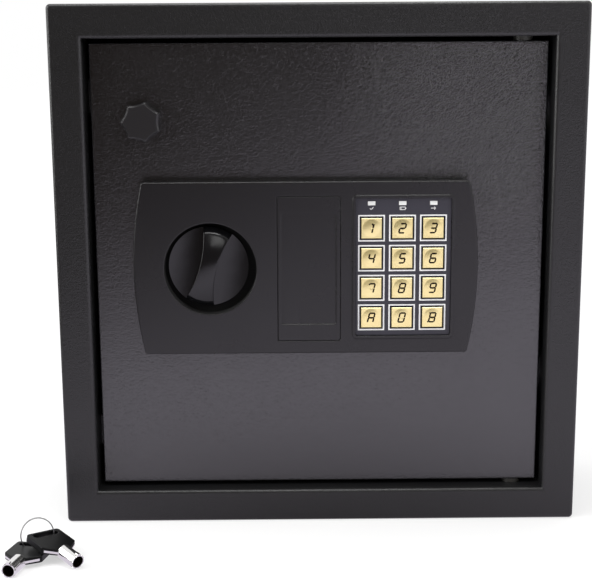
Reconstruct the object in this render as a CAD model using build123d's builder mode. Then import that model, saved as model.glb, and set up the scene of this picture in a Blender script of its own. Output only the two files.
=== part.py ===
# Electronic key cabinet: a wall-mounted steel box with a recessed door, a moulded lock panel
# with a knob, a battery cover and a keypad, an override lock under a lobed cap, and racks of
# key hooks inside. Two tubular override keys on a ring lie in front of it.
# Millimetres. +Z is up and the front faces -Y. The origin is the middle of the underside.

import os
from math import asin, cos, degrees, radians, sin

from build123d import *

os.makedirs("parts", exist_ok=True)

# Cabinet body, folded from sheet
body_width = 365.0
body_height = 365.0
body_depth = 120.0
body_sheet = 2.0
body_corner = 3.0
flange_width = 23.0
lip_depth = 26.0
lip_bend = 2.4
back_sheet = 2.0
stop_reach = 4.7
stop_height = 22.0
stop_inset = 36.0

# Holes for the wall bolts
wall_hole_radius = 4.5
wall_spacing_x = 240.0
wall_spacing_z = 208.0

# Door
door_recess = 12.0
door_gap = 3.0
door_sheet = 3.0
rim_sheet = 2.0
rim_depth = 12.0
door_edge_radius = 0.8
cable_slot_width = 16.0
cable_slot_height = 8.0

# Hinge
hinge_inset = 16.5
hinge_behind = 7.0
pin_radius = 3.0
pin_clearance = 0.05
press_clearance = 0.02
hinge_block_width = 14.0
hinge_block_height = 18.0
hinge_block_wall = 2.5
pin_past_lip = 1.0
washer_radius = 6.5
washer_play = 0.2

# Moulded lock panel
panel_width = 239.0
panel_height = 121.0
panel_bulge = 6.7
panel_x = -9.7
panel_above_middle = 2.3
panel_depth = 12.0
panel_wall = 2.4
panel_corner = 2.0
panel_edge = 1.0
boss_radius = 3.4
boss_inset = 13.2
boss_inset_right = 11.3
boss_rise = 51.0
panel_screw_radius = 1.6
panel_screw_length = 9.0
panel_screw_head = 2.0
panel_screw_head_radius = 3.0
screw_clearance = 0.2

# Knob and its drive
knob_x = -77.3
knob_above_panel_middle = 1.3
knob_radius = 27.8
knob_top_radius = 24.0
knob_rise = 8.5
knob_crown = 4.5
knob_rim = 3.5
knob_tilt = 15.0
knob_floor_gap = 0.3
knob_waist = 11.4
knob_scoop_radius = 76.0
knob_edge_round = 0.4
flank_dip = 0.8
well_x = -76.0
well_radius = 32.0
well_depth = 9.0
well_edge_round = 0.5
shaft_radius = 4.5
shaft_clearance = 0.06
shaft_in_knob = 9.0
shaft_boss_wall = 2.6
shaft_flat = 3.4
cam_radius = 17.0
cam_thickness = 4.0
cam_behind_door = 0.3
drive_radius = 11.0
drive_pin_radius = 3.0
drive_slot_play = 0.5
drive_pin_past = 1.5
knob_turn = 90.0

# Bolt work
carriage_behind_door = 6.0
carriage_sheet = 3.0
carriage_guide_room = 2.9
carriage_right = -34.0
carriage_below_knob = 56.1
carriage_above_knob = 54.9
carriage_flange_depth = 17.0
bolt_radius = 6.0
bolt_spacing = 90.0
bolt_tip_inset = 1.5
bolt_back_from_carriage = 13.0
bolt_nose = 1.5
bolt_shank_radius = 4.0
bolt_rivet_radius = 5.5
bolt_rivet = 2.0
guide_inset = 9.0
guide_sheet = 3.0
guide_foot = 10.0
guide_margin = 5.0
guide_clearance = 0.3
stud_radius = 3.0
stud_collar_radius = 5.0
stud_clearance = 0.2
stud_inset = 14.0
stud_inset_right = 28.0
stud_inset_rows = 15.0
clip_thickness = 1.2
clip_play = 0.15

# Solenoid and its plunger, which drops into a hole in the carriage
solenoid_x = -75.0
solenoid_width = 26.0
solenoid_height = 34.0
solenoid_sheet = 1.5
coil_radius = 9.0
coil_wall = 1.0
plunger_behind_carriage = 11.5
plunger_radius = 3.0
plunger_clearance = 0.3
plunger_rest_gap = 0.3
plunger_hole_clearance = 0.6
plunger_drop = 4.0
collar_radius = 5.2
collar_thickness = 1.2
collar_above_carriage = 5.0
lift_tab_reach = 22.0
lift_tab_width = 9.0
lift_tab_sheet = 2.5
lift_gap = 0.3
lift_tab_clear = 1.3
spring_wire = 0.35
spring_turns = 4
spring_radius = 4.2

# Override lock and its cap
override_inset = 35.0
override_above_panel_middle = 101.2
lock_barrel_radius = 8.0
lock_hole_clearance = 0.2
lock_head_radius = 9.8
lock_head = 2.5
lock_length = 22.0
core_radius = 6.0
core_clearance = 0.05
core_back_radius = 4.5
core_shoulder = 4.0
keyway_outer = 5.2
keyway_inner = 3.4
keyway_depth = 8.0
key_nub_slot = 2.2
lock_nut_radius = 12.0
lock_nut = 4.0
cam_arm_length = 25.0
cam_arm_width = 11.0
cam_arm_boss_radius = 7.2
cam_arm_sheet = 2.0
cam_arm_gap = 0.3
cam_arm_screw_radius = 6.0
cam_arm_screw = 1.5
cap_radius = 14.4
cap_lobes = 7
cap_scallop_radius = 20.0
cap_scallop_depth = 2.45
cap_depth = 10.0
cap_floor = 3.0
cap_clearance = 0.3
cap_edge = 1.1
cap_lobe_round = 1.3

# Battery bay
bay_x = -7.6
bay_width = 43.4
bay_below_panel_middle = 0.6
bay_end_room = 0.45
cover_sheet = 2.2
cover_gap = 0.35
cover_corner = 1.2
cover_edge_round = 0.4
cover_pad_width = 37.6
cover_pad_height = 78.2
cover_pad_sink = 0.9
bay_ledge = 2.0
bay_ledge_sheet = 1.5
cell_radius = 7.2
cell_length = 49.3
cell_gap = 0.4
cell_behind_ledge = 0.4
cell_nipple_radius = 2.7
cell_nipple = 1.0
tray_wall = 1.5
tray_clearance = 0.4
contact_room = 2.0
contact_sheet = 0.4
contact_size = 10.0
contact_bump_radius = 3.4
contact_bump_taper = 30.0

# Keypad
pad_x = 57.85
pad_above_panel_middle = 0.2
pad_width = 66.0
pad_height = 96.4
pad_sheet = 2.0
pad_sink = 0.9
pad_surround = 2.2
pad_surround_proud = 0.8
pad_surround_round = 0.55
pad_corner = 1.5
pad_clearance = 0.2
pad_ledge = 1.6
key_pitch_x = 21.35
key_pitch_z = 21.0
key_top_above_pad = 27.6
key_left_from_pad = 22.05
key_size = 14.6
key_hole = 15.7
key_proud = 1.0
key_flange = 17.4
key_flange_sheet = 1.0
key_play = 0.1
key_travel = 0.8
key_edge = 0.5
key_dome_radius = 6.2
key_dome_rise = 0.35
key_stem_radius = 2.0
switch_gap = 0.1
key_labels = ("1", "2", "3", "4", "5", "6", "7", "8", "9", "a", "0", "b")
light_width = 5.1
light_height = 2.7
light_above_pad = 44.9
light_clearance = 0.2
light_proud = 0.1
board_sheet = 1.6
board_clear_of_door = 1.6
board_overlap = 1.5
switch_size = 6.0
switch_height = 2.6
switch_button_radius = 1.75
switch_button = 0.5

# Control board and the programming button
control_inset = 55.0
control_above_panel_middle = 5.2
control_width = 84.0
control_height = 92.0
control_standoff = 6.0
control_post_radius = 3.0
control_post_inset = 4.0
reset_inset = 27.0
reset_above_control = 24.0
reset_radius = 4.0
reset_proud = 2.5
reset_clearance = 0.3
reset_flange_radius = 5.4
reset_flange = 1.2
reset_travel = 1.2
reset_cup_radius = 7.5
reset_cup_depth = 11.0

# Inner cover of the door
inner_inset = 6.5
inner_inset_hinge = 31.5
inner_inset_ends = 10.0
inner_depth = 39.0
inner_sheet = 1.2
inner_corner = 3.0
cover_post_radius = 4.0
cover_post_inset = 11.0
cover_bolt_clearance = 1.0
screw_head_radius = 3.8
screw_head = 2.0
screw_radius = 1.9
screw_length = 9.0

# Key racks
bar_count = 6
bar_first_z = 55.0
bar_last_below_top = 50.0
bar_past_rail = 4.0
bar_height = 24.0
bar_sheet = 1.5
bar_fold = 6.0
rail_inset = 30.5
rail_width = 18.0
rail_depth = 10.0
rail_sheet = 1.5
rail_margin = 20.0
tab_height = 8.0
tab_hook = 3.0
tab_slot_play = 0.3
hooks_per_bar = 8
hook_pitch = 36.0
hook_width = 3.0
hook_sheet = 1.8
hook_reach = 15.0
hook_tip = 8.0
hook_pad = 10.0
hook_drop = 4.0

# Override keys on their ring
key_barrel_radius = 4.9
key_barrel_bore = 3.9
key_barrel_bore_depth = 9.0
key_barrel_length = 16.0
key_bitting_cuts = 7
key_bitting_radius = 0.6
key_bitting_length = 1.4
key_blade_sheet = 1.8
key_blade_proud = 0.9
key_nub_length = 3.0
bow_length = 26.5
bow_shoulder = 6.2
bow_width = 26.8
bow_far_width = 26.0
bow_thickness = 4.8
bow_round = 2.6
bow_edge_round = 0.7
bow_slot_length = 19.2
bow_slot_width = 4.6
bow_slot_inset = 4.5
shoulder_sheet = 1.6
shoulder_proud = 1.2
shoulder_side_inset = 1.0
shoulder_depth = 4.0
flat_key_tip = (-204.4, -155.4)
flat_key_heading = -103.5
flat_key_tilt = 0.0
raised_key_tip = (-161.6, -141.8)
raised_key_heading = -45.5
raised_key_tilt = 10.0
raised_key_roll = -6.0
ring_radius = 11.2
ring_wire = 0.5
ring_x = -193.4
ring_y = -113.7
ring_z = 12.75
ring_turn = 25.3
ring_lean = 10.0

# Places worked out from the driving sizes
front_y = -body_depth / 2
back_y = body_depth / 2
opening = (body_width - 2 * flange_width, body_height - 2 * flange_width)
opening_bottom = flange_width
opening_top = body_height - flange_width
door_size = (opening[0] - 2 * door_gap, opening[1] - 2 * door_gap)
door_right = door_size[0] / 2
door_left = -door_right
door_bottom = opening_bottom + door_gap
door_top = opening_top - door_gap
door_mid_z = body_height / 2
door_front = front_y + door_recess
door_back = door_front + door_sheet
rim_back = door_front + rim_depth
panel_z = door_mid_z + panel_above_middle
knob_z = panel_z + knob_above_panel_middle
bay_z = panel_z - bay_below_panel_middle
bay_height = 2 * (cell_length + cell_nipple + bay_end_room)
pad_z = panel_z + pad_above_panel_middle
key_top_z = pad_z + key_top_above_pad
key_left_x = pad_x - key_left_from_pad
light_z = pad_z + light_above_pad
override_x = door_left + override_inset
override_z = panel_z + override_above_panel_middle
inner_left = door_left + inner_inset
inner_right = door_right - inner_inset_hinge
inner_bottom = door_bottom + inner_inset_ends
inner_top = door_top - inner_inset_ends
control_x = inner_right - control_inset
control_z = panel_z + control_above_panel_middle
reset_x = inner_right - reset_inset
reset_z = control_z + reset_above_control
hinge_x = door_right - hinge_inset
hinge_y = door_front + hinge_behind
panel_front = door_front - panel_depth
panel_inside = panel_front + panel_wall
guide_left = door_left + guide_inset
guide_right = guide_left + guide_sheet
boss_columns = (
    max(panel_x - panel_width / 2 + boss_inset, guide_right + guide_foot + boss_radius),
    panel_x + panel_width / 2 - boss_inset_right,
)
boss_places = [(x, panel_z + side * boss_rise) for x in boss_columns for side in (-1, 1)]
well_floor = panel_front + well_depth
knob_back = well_floor - knob_floor_gap
cam_front = door_back + cam_behind_door
cam_back = cam_front + cam_thickness
drive_start = radians(knob_turn / 2)
drive_offset = drive_radius * sin(drive_start)
bolt_travel = 2 * drive_offset
bolt_tip = door_left + bolt_tip_inset
carriage_left = guide_right + bolt_travel + carriage_guide_room
carriage_bottom = knob_z - carriage_below_knob
carriage_top = knob_z + carriage_above_knob
carriage_front = door_back + carriage_behind_door
carriage_back = carriage_front + carriage_sheet
carriage_mid_z = (carriage_bottom + carriage_top) / 2
bolt_y = carriage_front + bolt_back_from_carriage
bolt_levels = [carriage_mid_z + side * bolt_spacing / 2 for side in (-1, 1)]
plunger_y = carriage_back + plunger_behind_carriage
lift_tab_bottom = override_z + cam_arm_width / 2 + lift_gap
solenoid_top = lift_tab_bottom - plunger_drop - lift_tab_clear
solenoid_bottom = solenoid_top - solenoid_height
solenoid_back = plunger_y + coil_radius + coil_wall + solenoid_sheet
lock_front = door_front - lock_head
lock_back = door_front + lock_length
cap_back = door_front - cap_clearance
cover_back = panel_front + cover_sheet
ledge_back = cover_back + bay_ledge_sheet
cell_y = ledge_back + cell_behind_ledge + cell_radius
cell_x = cell_radius + cell_gap / 2
tray_inner = (4 * cell_radius + 3 * cell_gap, 2 * (cell_length + cell_nipple + contact_room))
tray_outer = (tray_inner[0] + 2 * tray_wall, tray_inner[1] + 2 * tray_wall)
tray_back = cell_y + cell_radius + tray_wall
pad_front = panel_front + pad_sink
pad_back = pad_front + pad_sheet
board_back = door_front - board_clear_of_door
board_front = board_back - board_sheet
flange_front = pad_back + key_play
switch_top = board_front - switch_height - switch_button
control_front = door_back + control_standoff
inner_back = door_back + inner_depth
inner_face = inner_back - inner_sheet
inner_width = inner_right - inner_left
inner_height = inner_top - inner_bottom
inner_x = (inner_right + inner_left) / 2
inner_z = (inner_top + inner_bottom) / 2
rail_x = body_width / 2 - rail_inset
bar_length = 2 * (rail_x + bar_past_rail)
bar_pitch = (body_height - bar_first_z - bar_last_below_top) / (bar_count - 1)


def front_at(y):
    return Plane.XZ.offset(-y)


def save(piece, name):
    piece.label = name
    export_step(piece, f"parts/{name}.step")


# Body shell: four walls, front flange and the lip that returns into the cabinet
with BuildPart() as body_shell:
    with BuildSketch(front_at(front_y)):
        with Locations((0, body_height / 2)):
            RectangleRounded(body_width, body_height, body_corner)
    extrude(amount=-body_depth)
    fillet(body_shell.faces().sort_by(Axis.Y)[0].edges(), lip_bend)
    with BuildSketch(front_at(front_y + body_sheet)):
        with Locations((0, body_height / 2)):
            RectangleRounded(
                body_width - 2 * body_sheet, body_height - 2 * body_sheet, body_corner - body_sheet
            )
    extrude(amount=-(body_depth - body_sheet), mode=Mode.SUBTRACT)
    with BuildSketch(front_at(front_y + body_sheet)):
        with Locations((0, body_height / 2)):
            Rectangle(opening[0] + 2 * body_sheet, opening[1] + 2 * body_sheet)
    extrude(amount=-(lip_depth - body_sheet))
    with BuildSketch(front_at(front_y)):
        with Locations((0, body_height / 2)):
            Rectangle(opening[0], opening[1])
    extrude(amount=-lip_depth, mode=Mode.SUBTRACT)
    lip_edges = body_shell.faces().sort_by(Axis.Y)[0].inner_wires()[0].edges()
    fillet(lip_edges, lip_bend)
    for z in (opening_bottom - body_sheet, opening_top):
        with BuildSketch(Plane.XY.offset(z)):
            with Locations((hinge_x, hinge_y)):
                Circle(pin_radius + pin_clearance)
        extrude(amount=body_sheet, mode=Mode.SUBTRACT)
    with BuildSketch(front_at(rim_back + washer_play)):
        for z in (door_bottom + stop_inset, door_top - stop_inset):
            with Locations((-opening[0] / 2 - body_sheet, z)):
                Rectangle(stop_reach + body_sheet, stop_height, align=(Align.MIN, Align.CENTER))
    extrude(amount=-(front_y + lip_depth - rim_back))
save(body_shell.part, "body_shell")

# Back panel, welded in flush, with the four wall-bolt holes
with BuildPart() as back_panel:
    with BuildSketch(front_at(back_y - back_sheet)):
        with Locations((0, body_height / 2)):
            RectangleRounded(
                body_width - 2 * body_sheet, body_height - 2 * body_sheet, body_corner - body_sheet
            )
            with GridLocations(wall_spacing_x, wall_spacing_z, 2, 2):
                Circle(wall_hole_radius, mode=Mode.SUBTRACT)
    extrude(amount=-back_sheet)
save(back_panel.part, "back_panel")

# Washers that carry the door on the lower lip and space it from the upper one
with BuildPart() as hinge_washers:
    for z in (opening_bottom, opening_top - door_gap + washer_play):
        with BuildSketch(Plane.XY.offset(z)):
            with Locations((hinge_x, hinge_y)):
                Circle(washer_radius)
                Circle(pin_radius + pin_clearance, mode=Mode.SUBTRACT)
        extrude(amount=door_gap - washer_play)
save(hinge_washers.part, "hinge_washers")

# Rails: two upright channels on the back panel, slotted for the bars
rail_front = back_y - back_sheet - rail_depth
bar_back = rail_front
bar_front = bar_back - bar_sheet
bar_levels = [bar_first_z + n * bar_pitch for n in range(bar_count)]
tab_x = bar_length / 2 - bar_sheet / 2
tab_top = bar_height / 2 - tab_hook
rail_bottom = bar_levels[0] - bar_height / 2 - rail_margin / 2
rail_top = bar_levels[-1] + bar_height / 2 + rail_margin / 2
with BuildPart() as rack_rails:
    for side in (-1, 1):
        with BuildSketch(Plane.XY.offset(rail_bottom)):
            with Locations((side * rail_x, rail_front)):
                Rectangle(rail_width, rail_depth, align=(Align.CENTER, Align.MIN))
            with Locations((side * rail_x, rail_front + rail_sheet)):
                Rectangle(
                    rail_width - 2 * rail_sheet,
                    rail_depth - rail_sheet,
                    align=(Align.CENTER, Align.MIN),
                    mode=Mode.SUBTRACT,
                )
        extrude(amount=rail_top - rail_bottom)
        with BuildSketch(front_at(rail_front)):
            for level in bar_levels:
                with Locations((side * tab_x, level - tab_height / 2)):
                    Rectangle(
                        bar_sheet + 2 * tab_slot_play,
                        tab_height + tab_hook + 2 * tab_slot_play,
                        align=(Align.CENTER, Align.MIN),
                    )
        extrude(amount=-rail_sheet, mode=Mode.SUBTRACT)
save(rack_rails.part, "rack_rails")

# Key bars: folded strips with a tab at each end that hooks into the rails
tab_back = rail_front + rail_sheet + tab_slot_play
for number, level in enumerate(bar_levels, 1):
    with BuildPart() as key_bar:
        with BuildSketch(Plane.YZ.offset(-bar_length / 2)):
            with Locations((bar_front, level)):
                Rectangle(bar_sheet, bar_height, align=(Align.MIN, Align.CENTER))
        extrude(amount=bar_length)
        fold_length = 2 * (rail_x - rail_width / 2 - tab_slot_play)
        with BuildSketch(Plane.YZ.offset(-fold_length / 2)):
            with Locations((bar_front, level + bar_height / 2)):
                Rectangle(bar_fold, bar_sheet, align=(Align.MIN, Align.MAX))
        extrude(amount=fold_length)
        for side in (-1, 1):
            with BuildSketch(Plane.YZ.offset(side * tab_x - bar_sheet / 2)):
                with Locations((bar_back, level)):
                    Rectangle(
                        rail_sheet + tab_slot_play + bar_sheet,
                        tab_height,
                        align=(Align.MIN, Align.CENTER),
                    )
                with Locations((tab_back, level - tab_height / 2)):
                    Rectangle(bar_sheet, tab_hook, align=(Align.MIN, Align.MAX))
            extrude(amount=bar_sheet)
    save(key_bar.part, f"key_bar_{number}")

# Key hooks: flat hooks staked to the front of every bar
with BuildPart() as key_hooks:
    for level in bar_levels:
        for n in range(hooks_per_bar):
            hook_x = (n - (hooks_per_bar - 1) / 2) * hook_pitch
            arm_z = level - hook_drop
            with BuildSketch(Plane.YZ.offset(hook_x - hook_width / 2)):
                with BuildLine():
                    Polyline(
                        (bar_front, arm_z + hook_pad),
                        (bar_front - hook_sheet, arm_z + hook_pad),
                        (bar_front - hook_sheet, arm_z + hook_sheet),
                        (bar_front - hook_reach, arm_z + hook_sheet),
                        (bar_front - hook_reach, arm_z + hook_tip),
                        (bar_front - hook_reach - hook_sheet, arm_z + hook_tip),
                        (bar_front - hook_reach - hook_sheet, arm_z),
                        (bar_front, arm_z),
                        close=True,
                    )
                make_face()
            extrude(amount=hook_width)
save(key_hooks.part, "key_hooks")

# Door panel: a folded pan with the openings for the lock panel and the locks
with BuildPart() as door_panel:
    with BuildSketch(front_at(door_front)):
        with Locations((0, door_mid_z)):
            Rectangle(*door_size)
    extrude(amount=-rim_depth)
    fillet(door_panel.faces().sort_by(Axis.Y)[0].edges(), door_edge_radius)
    with BuildSketch(front_at(door_back)):
        with Locations((0, door_mid_z)):
            Rectangle(door_size[0] - 2 * rim_sheet, door_size[1] - 2 * rim_sheet)
    extrude(amount=-(rim_depth - door_sheet), mode=Mode.SUBTRACT)
    with BuildSketch(front_at(door_front)):
        with Locations((knob_x, knob_z)):
            Circle(shaft_radius + shaft_clearance)
        with Locations((bay_x, bay_z)):
            Rectangle(tray_outer[0] + 2 * tray_clearance, tray_outer[1] + 2 * tray_clearance)
        with Locations((pad_x, pad_z)):
            SlotOverall(cable_slot_width, cable_slot_height)
        with Locations((override_x, override_z)):
            Circle(lock_barrel_radius + lock_hole_clearance)
        with Locations(*boss_places):
            Circle(panel_screw_radius + screw_clearance)
    extrude(amount=-door_sheet, mode=Mode.SUBTRACT)
    for z in (door_bottom, door_top - rim_sheet):
        with BuildSketch(Plane.XY.offset(z)):
            with Locations((hinge_x, hinge_y)):
                Circle(pin_radius + press_clearance)
        extrude(amount=rim_sheet, mode=Mode.SUBTRACT)
save(door_panel.part, "door_panel")

# Hinge blocks inside the pan, bored for the pins
hinge_block_back = hinge_y + pin_radius + hinge_block_wall
block_bottoms = (door_bottom + rim_sheet, door_top - rim_sheet - hinge_block_height)
with BuildPart() as hinge_blocks:
    for z in block_bottoms:
        with BuildSketch(Plane.XY.offset(z)):
            with Locations((hinge_x, door_back)):
                Rectangle(
                    hinge_block_width, hinge_block_back - door_back, align=(Align.CENTER, Align.MIN)
                )
            with Locations((hinge_x, hinge_y)):
                Circle(pin_radius + press_clearance, mode=Mode.SUBTRACT)
        extrude(amount=hinge_block_height)
save(hinge_blocks.part, "hinge_blocks")

# Hinge pins, held in the door and turning in the lips of the body
pin_length = hinge_block_height + rim_sheet + door_gap + body_sheet + pin_past_lip
with BuildPart() as hinge_pins:
    for z in (
        block_bottoms[0] + hinge_block_height - pin_length,
        block_bottoms[1],
    ):
        with BuildSketch(Plane.XY.offset(z)):
            with Locations((hinge_x, hinge_y)):
                Circle(pin_radius)
        extrude(amount=pin_length)
save(hinge_pins.part, "hinge_pins")


def lock_panel_outline(inset):
    reach = panel_width / 2 - inset
    rise = panel_height / 2 - inset
    shoulder = reach - panel_bulge
    top = panel_z + rise
    bottom = panel_z - rise
    with BuildLine() as outline:
        Line((panel_x - shoulder, top), (panel_x + shoulder, top))
        ThreePointArc(
            (panel_x + shoulder, top), (panel_x + reach, panel_z), (panel_x + shoulder, bottom)
        )
        Line((panel_x + shoulder, bottom), (panel_x - shoulder, bottom))
        ThreePointArc(
            (panel_x - shoulder, bottom), (panel_x - reach, panel_z), (panel_x - shoulder, top)
        )
    return outline.line


# Lock panel: a moulded shell with bowed ends, the well of the knob, the battery bay,
# the seat of the keypad and screw bosses
with BuildPart() as lock_panel:
    with BuildSketch(front_at(panel_front)) as panel_outline:
        with BuildLine():
            add(lock_panel_outline(0))
        make_face()
        fillet(panel_outline.vertices(), panel_corner)
    extrude(amount=-panel_depth)
    fillet(lock_panel.faces().sort_by(Axis.Y)[0].edges(), panel_edge)
    with BuildSketch(front_at(panel_inside)):
        with BuildLine():
            add(lock_panel_outline(panel_wall))
        make_face()
    extrude(amount=-(panel_depth - panel_wall), mode=Mode.SUBTRACT)
    with BuildSketch(front_at(panel_inside)):
        with Locations((well_x, panel_z)):
            Circle(well_radius + panel_wall)
    extrude(amount=-well_depth)
    with BuildSketch(front_at(panel_inside)):
        with Locations((knob_x, knob_z)):
            Circle(shaft_radius + shaft_boss_wall)
        with Locations(*boss_places):
            Circle(boss_radius)
    extrude(amount=-(panel_depth - panel_wall))
    with BuildSketch(front_at(panel_inside)):
        with Locations((bay_x, bay_z)):
            Rectangle(
                bay_width + 2 * (cover_gap + panel_wall), bay_height + 2 * (cover_gap + panel_wall)
            )
    extrude(amount=-(ledge_back - panel_inside))
    with BuildSketch(front_at(panel_inside)):
        with Locations((pad_x, pad_z)):
            Rectangle(
                pad_width + 2 * (pad_clearance + pad_surround),
                pad_height + 2 * (pad_clearance + pad_surround),
            )
    extrude(amount=-(board_front - panel_inside))
    with BuildSketch(front_at(panel_front - pad_surround_proud)):
        with Locations((pad_x, pad_z)):
            RectangleRounded(
                pad_width + 2 * (pad_clearance + pad_surround),
                pad_height + 2 * (pad_clearance + pad_surround),
                pad_corner + pad_surround,
            )
    extrude(amount=-(pad_surround_proud + panel_wall))
    fillet(
        lock_panel.faces().sort_by(Axis.Y)[0].outer_wire().edges(), pad_surround_round
    )
    with BuildSketch(front_at(panel_front)):
        with Locations((well_x, panel_z)):
            Circle(well_radius)
    extrude(amount=-well_depth, mode=Mode.SUBTRACT)
    well_edges = lock_panel.edges().filter_by(GeomType.CIRCLE)
    well_edges = well_edges.filter_by(lambda edge: abs(edge.radius - well_radius) < well_edge_round)
    fillet(well_edges.sort_by(Axis.Y)[0], well_edge_round)
    with BuildSketch(front_at(panel_front)):
        with Locations((knob_x, knob_z)):
            Circle(shaft_radius + shaft_clearance)
    extrude(amount=-panel_depth, mode=Mode.SUBTRACT)
    with BuildSketch(front_at(panel_front)):
        with Locations((bay_x, bay_z)):
            RectangleRounded(
                bay_width + 2 * cover_gap, bay_height + 2 * cover_gap, cover_corner + cover_gap
            )
    extrude(amount=-cover_sheet, mode=Mode.SUBTRACT)
    with BuildSketch(front_at(panel_front)):
        with Locations((bay_x, bay_z)):
            Rectangle(bay_width - 2 * bay_ledge, bay_height - 2 * bay_ledge)
    extrude(amount=-panel_depth, mode=Mode.SUBTRACT)
    with BuildSketch(front_at(panel_front - pad_surround_proud)):
        with Locations((pad_x, pad_z)):
            RectangleRounded(
                pad_width + 2 * pad_clearance,
                pad_height + 2 * pad_clearance,
                pad_corner + pad_clearance,
            )
    extrude(amount=-(pad_back - panel_front + pad_surround_proud), mode=Mode.SUBTRACT)
    with BuildSketch(front_at(panel_front)):
        with Locations((pad_x, pad_z)):
            Rectangle(pad_width - 2 * pad_ledge, pad_height - 2 * pad_ledge)
    extrude(amount=-panel_depth, mode=Mode.SUBTRACT)
    with BuildSketch(front_at(door_front)):
        with Locations(*boss_places):
            Circle(panel_screw_radius)
    extrude(amount=panel_screw_length - door_sheet, mode=Mode.SUBTRACT)
save(lock_panel.part, "lock_panel")

# Screws from inside the door into the bosses of the lock panel
with BuildPart() as panel_screws:
    with BuildSketch(front_at(door_back)):
        with Locations(*boss_places):
            Circle(panel_screw_head_radius)
    extrude(amount=-panel_screw_head)
    with BuildSketch(front_at(door_back)):
        with Locations(*boss_places):
            Circle(panel_screw_radius)
    extrude(amount=panel_screw_length)
save(panel_screws.part, "panel_screws")

# Battery cover, with its sunk finger pad
with BuildPart() as battery_cover:
    with BuildSketch(front_at(panel_front)):
        with Locations((bay_x, bay_z)):
            RectangleRounded(bay_width, bay_height, cover_corner)
    extrude(amount=-cover_sheet)
    with BuildSketch(front_at(panel_front)):
        with Locations((bay_x, bay_z)):
            RectangleRounded(cover_pad_width, cover_pad_height, cover_corner)
    extrude(amount=-cover_pad_sink, mode=Mode.SUBTRACT)
    fillet(battery_cover.faces().sort_by(Axis.Y)[0].edges(), cover_edge_round)
save(battery_cover.part, "battery_cover")

# Battery tray behind the ledge of the bay, reaching through the door
with BuildPart() as battery_tray:
    with BuildSketch(front_at(ledge_back)):
        with Locations((bay_x, bay_z)):
            Rectangle(*tray_outer)
    extrude(amount=-(tray_back - ledge_back))
    with BuildSketch(front_at(ledge_back)):
        with Locations((bay_x, bay_z)):
            Rectangle(*tray_inner)
    extrude(amount=-(tray_back - tray_wall - ledge_back), mode=Mode.SUBTRACT)
save(battery_tray.part, "battery_tray")

# Batteries: four cells in two columns, nipples up in one and down in the other
cell_pitch = cell_length + cell_nipple
cell_columns = ((bay_x - cell_x, 1), (bay_x + cell_x, -1))
with BuildPart() as batteries:
    for x, up in cell_columns:
        for start in (bay_z - up * cell_pitch, bay_z):
            with BuildSketch(Plane.XY.offset(start)):
                with Locations((x, cell_y)):
                    Circle(cell_radius)
            extrude(amount=up * cell_length)
            with BuildSketch(Plane.XY.offset(start + up * cell_length)):
                with Locations((x, cell_y)):
                    Circle(cell_nipple_radius)
            extrude(amount=up * cell_nipple)
save(batteries.part, "batteries")

# Battery contacts: a plate with a sprung bump at each end of a column
with BuildPart() as battery_contacts:
    for x, up in cell_columns:
        for side in (-1, 1):
            plate_z = bay_z + side * tray_inner[1] / 2
            with BuildSketch(Plane.XY.offset(plate_z)):
                with Locations((x, cell_y)):
                    Rectangle(contact_size, contact_size)
            extrude(amount=-side * contact_sheet)
            with BuildSketch(Plane.XY.offset(plate_z - side * contact_sheet)):
                with Locations((x, cell_y)):
                    Circle(contact_bump_radius)
            extrude(amount=-side * (contact_room - contact_sheet), taper=contact_bump_taper)
save(battery_contacts.part, "battery_contacts")

# Keypad plate with square holes for the buttons and slots for the lights
button_places = [
    (key_left_x + column * key_pitch_x, key_top_z - row * key_pitch_z)
    for row in range(4)
    for column in range(3)
]
with BuildPart() as keypad_plate:
    with BuildSketch(front_at(pad_front)):
        with Locations((pad_x, pad_z)):
            RectangleRounded(pad_width, pad_height, pad_corner)
        with Locations(*button_places):
            Rectangle(key_hole, key_hole, mode=Mode.SUBTRACT)
        with Locations(*[(place[0], light_z) for place in button_places[:3]]):
            Rectangle(
                light_width + 2 * light_clearance,
                light_height + 2 * light_clearance,
                mode=Mode.SUBTRACT,
            )
    extrude(amount=-pad_sheet)
save(keypad_plate.part, "keypad_plate")

# Indicator lights, standing on the keypad board
with BuildPart() as indicator_lights:
    with BuildSketch(front_at(board_front)):
        with Locations(*[(place[0], light_z) for place in button_places[:3]]):
            Rectangle(light_width, light_height)
    extrude(amount=board_front - pad_front + light_proud)
save(indicator_lights.part, "indicator_lights")

# Keypad board with its switches
with BuildPart() as keypad_board:
    with BuildSketch(front_at(board_front)):
        with Locations((pad_x, pad_z)):
            Rectangle(
                pad_width - 2 * pad_ledge + 2 * board_overlap,
                pad_height - 2 * pad_ledge + 2 * board_overlap,
            )
    extrude(amount=-board_sheet)
    with BuildSketch(front_at(board_front)):
        with Locations(*button_places):
            Rectangle(switch_size, switch_size)
    extrude(amount=switch_height)
    with BuildSketch(front_at(board_front - switch_height)):
        with Locations(*button_places):
            Circle(switch_button_radius)
    extrude(amount=switch_button)
save(keypad_board.part, "keypad_board")

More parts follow.
